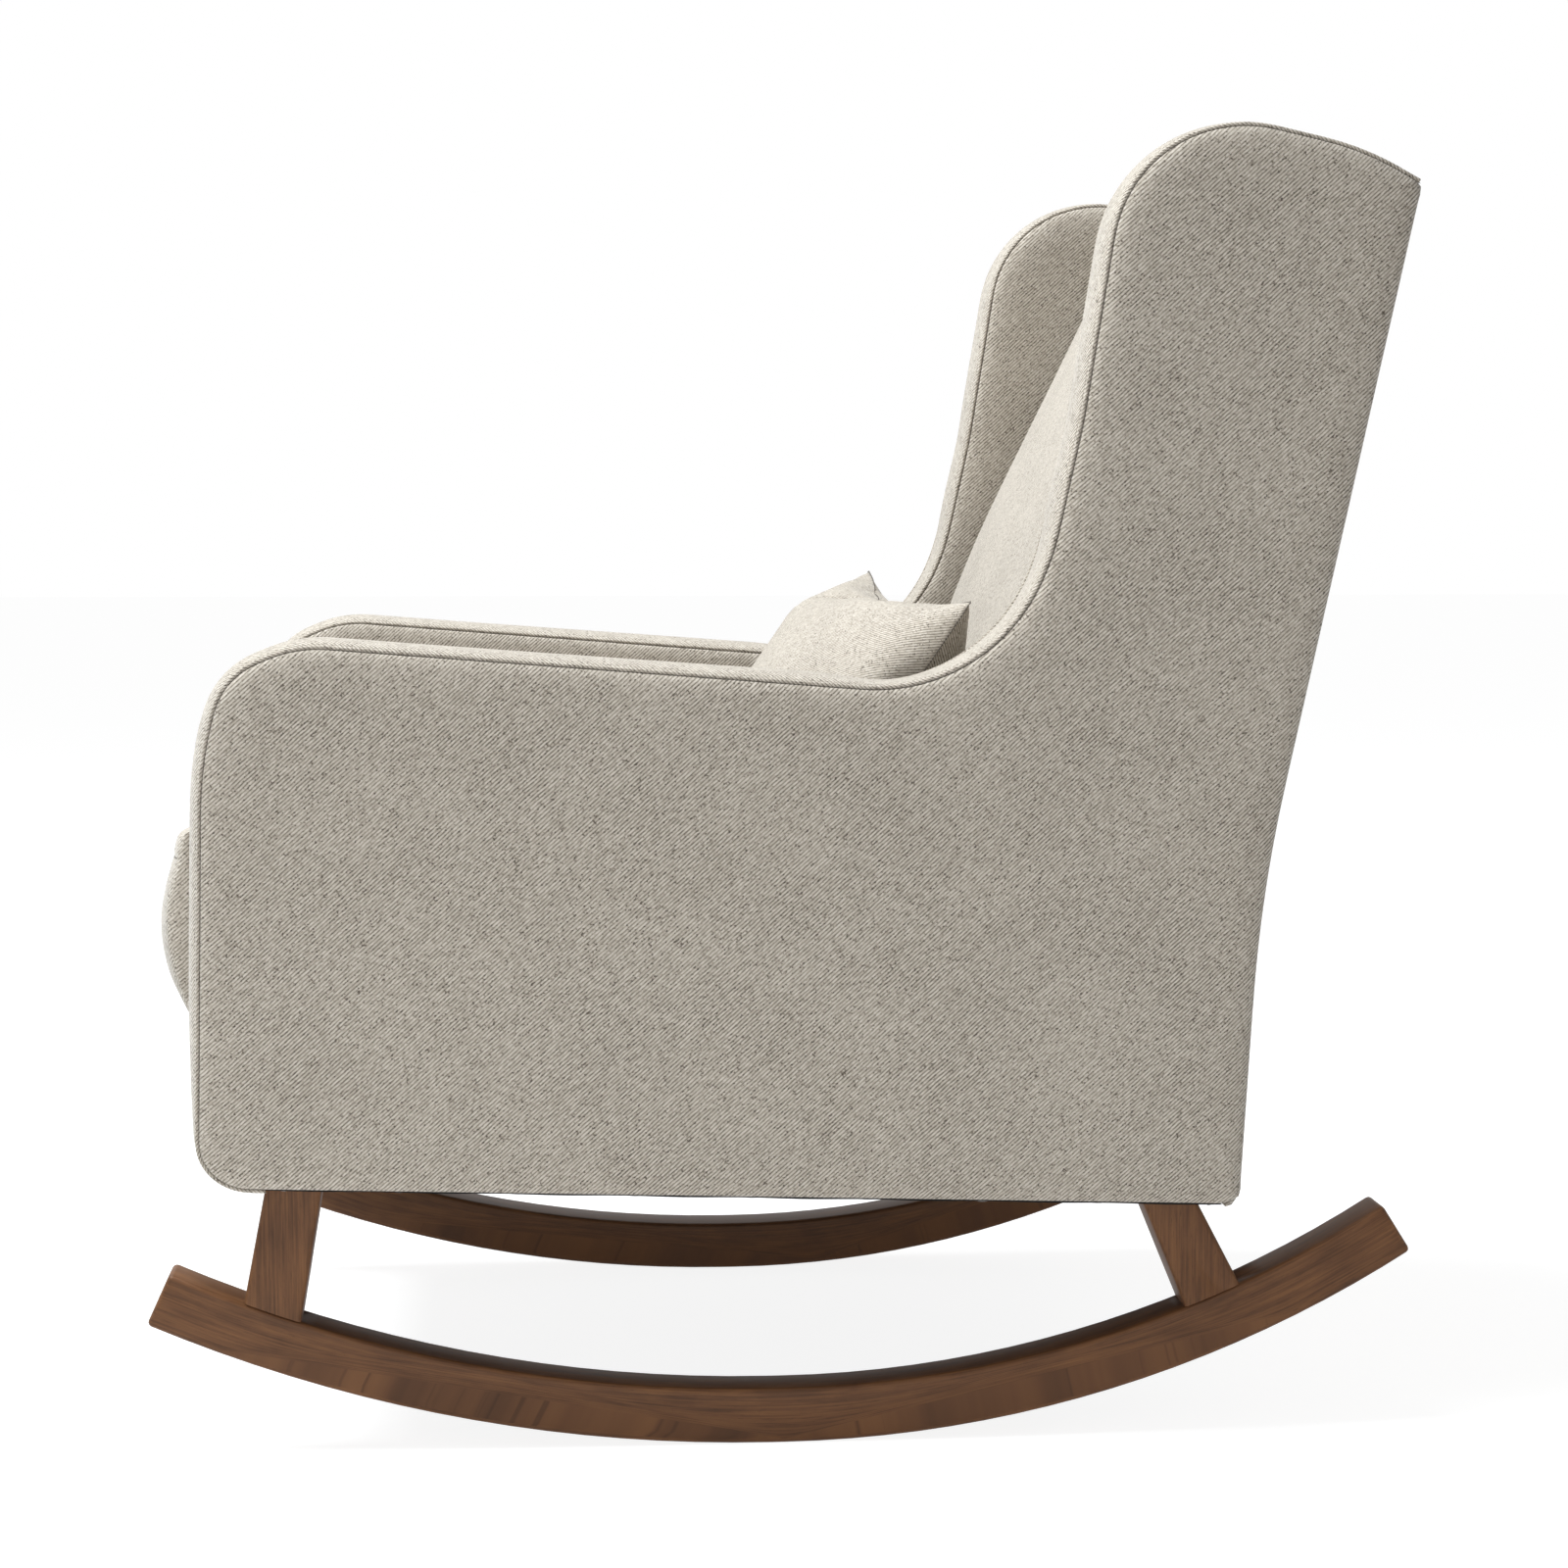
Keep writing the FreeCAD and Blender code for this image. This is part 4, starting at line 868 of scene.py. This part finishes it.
def padFrom(node, look):
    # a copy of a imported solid: remeshed, made a little slimmer, relaxed, inflated and refined
    piece = placed(node + "_pad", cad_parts[node].data.copy())
    finishMesh(piece)
    remesh = piece.modifiers.new("even", "REMESH")
    remesh.mode = "VOXEL"
    remesh.voxel_size = look["voxel"]
    swap(piece, evaluatedMesh(piece))
    mesh = piece.data
    putCoords(mesh, coordsOf(mesh) - look["slim"] * normalsOf(mesh))
    putCoords(mesh, relaxed(mesh, look["relax"]))
    putCoords(mesh, inflate(piece, look))
    refine(piece)
    return piece


# Inside back: foam and fibre wrap on webbing, drawn over the top rail
insideBackLook = {"voxel": 0.0065, "slim": 0.002, "stiffness": 12.0, "bending": 1.5, "pressure": 3.0,
                  "quality": 6, "frames": 16, "cap": 0.006, "relax": 12}
insideBack = padFrom("inside_back", insideBackLook)
upholster(insideBack, "inside_back")
setWeave(insideBack, lambda co, normal: (co.y, co.z) if abs(normal.x) > 0.75 else (co.x, co.z * 1.08))
print("inside back made")


# Seat cushion: boxed, foam with a fibre wrap. Two seams run round it; its front face bulges most.
cushionLook = {"voxel": 0.006, "slim": 0.002, "stiffness": 10.0, "bending": 0.8, "pressure": 4.0,
               "quality": 6, "frames": 20, "cap": 0.008, "relax": 2,
               "seams": {"top": 0.146, "bottom": 0.006},  # heights over the deck
               "frontShift": 0.012, "frontSwell": 0.010, "frontRun": 0.09, "edgeLift": 0.011,
               "edgeRun": 0.035, "edgeFrom": 0.05, "edgeFade": 0.085, "topSwell": 0.019, "topRun": 0.012,
               "topLength": 0.2, "topFrom": 0.128, "topFade": 0.012, "grooveReach": 0.0055,
               "groove": 0.0018, "seamStep": 0.004}


def heightsOf(points):
    return (points - np.array(seatFront)) @ np.array(seatNormal)


def cushionShape(shape, look):
    # fuller at its top front edge and down its front face
    height = heightsOf(shape)
    behind = shape[:, 1] - shape[:, 1].min()
    beside = np.abs(shape[:, 0]).max() - np.abs(shape[:, 0])
    edge = np.minimum(np.minimum(behind, behind.max() - behind), beside)
    raised = np.clip((height - look["edgeFrom"]) / look["edgeFade"], 0, 1)
    lift = look["edgeLift"] * raised * np.exp(-(edge / look["edgeRun"]) ** 2)
    above = np.clip((height - look["topFrom"]) / look["topFade"], 0, 1)
    above *= 1 - np.exp(-behind / look["topRun"])
    fade = np.clip(1 - behind / look["topLength"], 0, 1)
    shape[:, 2] += lift + look["topSwell"] * above * fade * fade * (3 - 2 * fade)
    share = np.clip(height / look["seams"]["top"], 0, 1)
    swell = look["frontSwell"] * (1 - (2 * share - 1) ** 2) ** 0.7 + look["frontShift"] * share
    shape[:, 1] -= swell * np.clip(1 - behind / look["frontRun"], 0, 1)
    return shape


def grooved(mesh, look):
    # drawn in along both seams
    shape, faceOut = coordsOf(mesh), normalsOf(mesh)
    height = heightsOf(shape)
    for level in look["seams"].values():
        near = np.clip(1 - np.abs(height - level) / look["grooveReach"], 0, 1) ** 2
        shape -= (look["groove"] * near)[:, None] * faceOut
    return shape


def sewnLoop(name, piece, level, look, body):
    # a row of dark stitches round a cushion, at a height over the deck; their dark colour is painted shade
    # along the seam's groove
    work = bmesh.new()
    work.from_mesh(piece.data)
    bmesh.ops.bisect_plane(work, geom=work.verts[:] + work.edges[:] + work.faces[:], plane_no=seatNormal,
                           plane_co=seatFront + level * seatNormal, clear_inner=True, clear_outer=True)
    loop = np.array([tuple(v.co) for v in walkRound(work.edges, lambda v: v.co.x)])
    work.free()
    loop = resample(closed(loop), look["seamStep"], 2)
    loop[-1] = loop[0]
    outward = unit(np.cross(np.gradient(loop, axis=0), tuple(seatNormal)))
    if ((loop - loop.mean(0)) * outward).sum() < 0:
        outward = -outward
    return stitches(name, chainOf(loop, outward), knifeSeamShade, seamShadeThread, body)


def boxWeave(co, normal):
    if abs(normal.z) > 0.6:
        return co.x, co.y
    return (co.x, co.z) if abs(normal.y) > abs(normal.x) else (co.y, co.z)


cushion = padFrom("seat_cushion", cushionLook)
putCoords(cushion.data, cushionShape(coordsOf(cushion.data), cushionLook))
putCoords(cushion.data, grooved(cushion.data, cushionLook))
upholster(cushion, "seat_cushion", "seat_cushion")
setWeave(cushion, boxWeave)
for label, level in cushionLook["seams"].items():
    sewnLoop("cushion_seam_shade_" + label, cushion, level, cushionLook, "seat_cushion")
print("seat cushion made")


# Lumbar pillow: two sheets sewn at their edge and filled, so it has a knife edge and pointed corners
pillowLook = {"width": 0.535, "height": 0.315, "step": 0.0075, "stiffness": 80.0, "bending": 0.1,
              "pressure": 8.0, "frames": 26, "cap": 0.2, "quality": 8, "startSwell": 0.02,
              "quickSwell": 3.6, "size": (0.948, 0.96, 0.822), "lean": 31.0, "turn": 3.85, "tilt": 1.93,
              "place": (-0.0014, 0.0765, 0.5700), "rest": (0.4675, 0.492), "crease": 0.9, "seamOff": 0.0003}


def pillowSheets(look):
    # points and faces of the two sheets, and the numbers of the points that they share, in order
    columns, rows = (int(round(look[way] / look["step"])) for way in ("width", "height"))
    points, faces, number = [], [], {}
    for layer in (1, -1):
        for j in range(rows + 1):
            for i in range(columns + 1):
                key = (i, j, 0 if i in (0, columns) or j in (0, rows) else layer)
                if key not in number:
                    u, v = 2 * i / columns - 1, 2 * j / rows - 1
                    swell = look["startSwell"] * (1 - u ** 4) * (1 - v ** 4)
                    number[key] = len(points)
                    points.append((u * look["width"] / 2, -layer * swell, v * look["height"] / 2))
    for layer in (1, -1):
        for j in range(rows):
            for i in range(columns):
                corners = [number.get((a, b, layer), number.get((a, b, 0)))
                           for a, b in ((i, j), (i + 1, j), (i + 1, j + 1), (i, j + 1))]
                faces.append(corners[::layer])
    border = [(i, 0) for i in range(columns)] + [(columns, j) for j in range(rows)]
    border += [(i, rows) for i in range(columns, 0, -1)] + [(0, j) for j in range(rows, 0, -1)]
    return points, faces, [number[(i, j, 0)] for i, j in border]


def laid(shape, look):
    # turned and placed against the back, and flattened where it lies on the cushion
    turns = [Matrix.Rotation(math.radians(angle), 4, axis)
             for angle, axis in ((look["turn"], "Z"), (-look["lean"], "X"), (look["tilt"], "Y"))]
    turned = Matrix.Translation(look["place"]) @ turns[0] @ turns[1] @ turns[2]
    shape = np.array([turned @ Vector(p) for p in shape * look["size"]])
    height, rest = shape[:, 2], look["rest"]
    shape[:, 2] = np.where(height < rest[1], np.interp(height, (height.min(), rest[1]), rest), height)
    return shape


points, faces, pillowBorder = pillowSheets(pillowLook)
pillow = pieceFrom("lumbar_pillow_pad", points, faces)
setWeave(pillow, lambda co, normal: (co.x, co.z))
shape = inflate(pillow, pillowLook)
shape = laid(shape, pillowLook)
putCoords(pillow.data, shape)
creases = pillow.data.attributes.new("crease_edge", "FLOAT", "EDGE")
for edge in pillow.data.edges:
    if set(edge.vertices) <= set(pillowBorder):
        creases.data[edge.index].value = pillowLook["crease"]
refine(pillow)
upholster(pillow, "lumbar_pillow", "lumbar_pillow")
edgeLine = closed(shape[pillowBorder])
outward = unit(edgeLine - shape.mean(0))
chain = chainOf(edgeLine + pillowLook["seamOff"] * outward, outward)
# the dark seam stitches are painted shade on real stitching: they draw the shadow line in the groove between
# the two sheets
stitches("pillow_seam", chain, knifeSeamShade, seamShadeThread, "lumbar_pillow")
print("lumbar pillow made")


# Runners and legs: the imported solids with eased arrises, and grain that follows each piece
wood = {"arris": 0.0038, "segments": 3, "sharpAngle": 32, "frontRadius": 1.18, "rearRadius": 0.95,
        "flatMiddle": -0.009, "halfFlat": 0.006, "endReach": 0.03, "nextSide": (0.7, 0.31),
        "legStart": {"front": 0.4, "rear": 0.13}}


def easedCopy(node, keep):
    # the solid with its long arrises rounded; keep picks the edges
    low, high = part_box(node)
    piece = placed(node + "_wood", bpy.data.meshes.new(node + "_wood"))
    work = editable(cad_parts[node].data)
    bmesh.ops.recalc_face_normals(work, faces=work.faces)
    bmesh.ops.dissolve_limit(work, angle_limit=math.radians(0.5), verts=work.verts, edges=work.edges)
    edges = [e for e in work.edges
             if len(e.link_faces) == 2 and e.calc_face_angle(0) > 0.6 and keep(e, low, high)]
    bmesh.ops.bevel(work, geom=edges, offset=wood["arris"], offset_type="OFFSET", segments=wood["segments"],
                    profile=0.5, affect="EDGES", clamp_overlap=True)
    work.to_mesh(piece.data)
    work.free()
    piece.data.shade_smooth()
    piece.data.set_sharp_from_angle(angle=math.radians(wood["sharpAngle"]))
    return piece


def runnerEdge(edge, low, high):
    a, b = edge.verts[0].co, edge.verts[1].co
    onSide = any(abs(a.x - level) < sameLevel and abs(b.x - level) < sameLevel for level in (low.x, high.x))
    atEnd = min(abs(a.y - low.y), abs(a.y - high.y)) < wood["endReach"]
    return onSide or (atEnd and abs(a.x - b.x) > 0.8 * (high.x - low.x))


def legEdge(edge, low, high):
    run = edge.verts[1].co - edge.verts[0].co
    return abs(run.z) > 0.75 * run.length and run.length > 0.05


def setGrain(piece, place):
    grain = piece.data.attributes.new("grain", "FLOAT_VECTOR", "POINT")
    grain.data.foreach_set("vector", [c for v in piece.data.vertices for c in place(v.co)])
    dress(piece, stainedWood, [piece.name.removesuffix("_wood")])


def runnerGrain(co, shift):
    # along the runner's arc, across it, and down from its top
    ahead = co.y - wood["flatMiddle"]
    radius = wood["frontRadius"] if ahead < 0 else wood["rearRadius"]
    run = max(abs(ahead) - wood["halfFlat"], 0)
    arc = math.copysign(radius * math.atan2(run, radius - co.z), ahead)
    return arc + shift, co.x, radius - math.hypot(run, radius - co.z)


for number, (side, _) in enumerate(sides):
    shifts = [number * step for step in wood["nextSide"]]
    setGrain(easedCopy("runner_" + side, runnerEdge), lambda co: runnerGrain(co, shifts[0]))
    for end, start in wood["legStart"].items():
        setGrain(easedCopy(f"{end}_leg_{side}", legEdge), lambda co: (co.z + shifts[1] + start, co.x, co.y))
print("runners and legs made")


# Dust cover: black cambric, stapled flat under the seat, with a slight sag
coverLook = {"columns": 46, "rows": 50, "drop": 0.0018, "sag": 0.003, "tuft": 0.0007, "thickness": 0.0008,
             "inset": 0.008, "stapleDrop": 0.0012, "stapleStep": 0.01,
             "staple": {"pitch": 0.045, "length": 0.010, "thickness": 0.0011}}
low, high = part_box("dust_cover")
coverSlope = (high.z - low.z - coverLook["thickness"]) / (high.y - low.y)


def underSeat(y):
    return high.z - coverLook["drop"] - (y - low.y) * coverSlope


def coverPoint(across, along):
    # a point of the cover from two shares of its size
    away = math.sin(math.pi * across) * math.sin(math.pi * along)
    ripple = math.cos(across * coverLook["columns"]) * math.cos(along * coverLook["rows"]) * (1 - away)
    y = low.y + along * (high.y - low.y)
    sag = coverLook["sag"] * away ** 0.5 + coverLook["tuft"] * ripple
    return low.x + across * (high.x - low.x), y, underSeat(y) - sag


columns, rows = coverLook["columns"], coverLook["rows"]
points = [coverPoint(i / columns, j / rows) for j in range(rows + 1) for i in range(columns + 1)]
cover = pieceFrom("dust_cover_cloth", points, [(a, d, c, b) for a, b, c, d in gridFaces(rows, columns)])
dress(cover, cambric, ["dust_cover"])
xs, ys = ((low[k] + coverLook["inset"], high[k] - coverLook["inset"]) for k in (0, 1))
corners = ((xs[0], ys[0]), (xs[1], ys[0]), (xs[1], ys[1]), (xs[0], ys[1]), (xs[0], ys[0]))
line = np.array([(x, y, underSeat(y) - coverLook["stapleDrop"]) for x, y in corners])
line = resample(line, coverLook["stapleStep"])
staples = stitches("dust_cover_staples", chainOf(line, np.tile((0.0, 0.0, -1.0), (len(line), 1))),
                   coverLook["staple"], zinc)
print("dust cover made")


# Hidden frame, springs and fixings keep their solids
finishes = {
    plywood: ("side_frame_left", "side_frame_right"),
    hardwood: ("seat_front_rail", "seat_rear_rail", "seat_spring_rail", "seat_cleat_left",
               "seat_cleat_right", "corner_blocks", "leg_mount_blocks", "back_top_rail", "back_tuck_rail"),
    jute: ("back_webbing",),
    springSteel: ("seat_springs",),
    zinc: ("spring_clips", "leg_bolts", "leg_washers"),
}
for material, nodes in finishes.items():
    for node in nodes:
        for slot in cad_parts[node].material_slots:
            slot.material = material
print("hidden pieces finished")


# Camera at the photograph's place
view = {"focalPixels": 3226.66, "framePixels": 1600, "sensor": 36.0, "place": (2.77535, -0.20792, 0.72730),
        "ahead": (-0.993239, 0.082618, -0.081553)}
camera = placed("camera", bpy.data.cameras.new("camera"))
camera.data.sensor_width = view["sensor"]
camera.data.lens = view["focalPixels"] / view["framePixels"] * view["sensor"]
ahead = Vector(view["ahead"]).normalized()
sideways = ahead.cross(Vector((0, 0, 1))).normalized()
turned = Matrix((sideways, sideways.cross(ahead), -ahead)).transposed().to_4x4()
camera.matrix_world = Matrix.Translation(view["place"]) @ turned
scene.camera = camera

# Soft light, mostly from above: each lamp's place, target, size, power and tint
lights = {
    "keyAboveFront": ((0.1, -1.35, 3.4), (0.0, 0.1, 0.5), 2.2, 238.0, (0.93, 0.97, 1.0)),
    "sideFill": ((3.4, -1.9, 0.9), (0.0, 0.0, 0.45), 2.0, 7.0, (1.0, 0.98, 0.95)),
    "lowFill": ((3.0, -0.3, 0.25), (0.0, 0.0, 0.08), 1.0, 12.0, (1.0, 0.97, 0.93)),
}
for name, (place, target, size, power, tint) in lights.items():
    lamp = placed(name, bpy.data.lights.new(name, "AREA"))
    lamp.data.shape = "SQUARE"
    lamp.data.size = size
    lamp.data.energy = power
    lamp.data.color = tint
    lamp.location = place
    lamp.rotation_euler = (Vector(target) - Vector(place)).to_track_quat("-Z", "Y").to_euler()

# White studio: the room and a floor of matt paper, which keeps the chair's soft shadow
studio = {"light": 0.35, "shown": 1.0, "glow": 0.87, "paper": "#f2f2f2", "shownPaper": "#9a9a9a",
          "reach": 30}
white = (1, 1, 1, 1)


def backdrop(tree, output, lighting, shown, *kinds):
    # one shader lights the chair, another is shown to these kinds of ray
    rays = addNode(tree, "LightPath").outputs
    seen = 0.0
    for kind in kinds:
        seen = maths(tree, "MAXIMUM", seen, rays[f"Is {kind} Ray"])
    addNode(tree, output, {0: addNode(tree, "MixShader", {0: seen, 1: lighting, 2: shown})})


scene.world = bpy.data.worlds.new("studio")
tree = emptyTree(scene.world)
soft, bright = (addNode(tree, "Background", {"Color": white, "Strength": studio[power]})
                for power in ("light", "shown"))
backdrop(tree, "OutputWorld", soft, bright, "Camera", "Glossy", "Transmission")

corners = [(x * studio["reach"], y * studio["reach"], 0) for x, y in ((-1, -1), (1, -1), (1, 1), (-1, 1))]
floor = pieceFrom("floor", corners, [(0, 1, 2, 3)])
paper, tree = newMaterial("whitePaper")
matt, grey = (addNode(tree, "BsdfDiffuse", {"Color": linear(studio[tone])})
              for tone in ("paper", "shownPaper"))
glow = addNode(tree, "Emission", {"Color": white, "Strength": studio["glow"]})
lit = addNode(tree, "AddShader", {0: grey, 1: glow})
backdrop(tree, "OutputMaterial", matt, lit, "Camera", "Glossy")
floor.data.materials.append(paper)
scene.view_settings.view_transform = "Standard"
print("camera, lights and floor set")
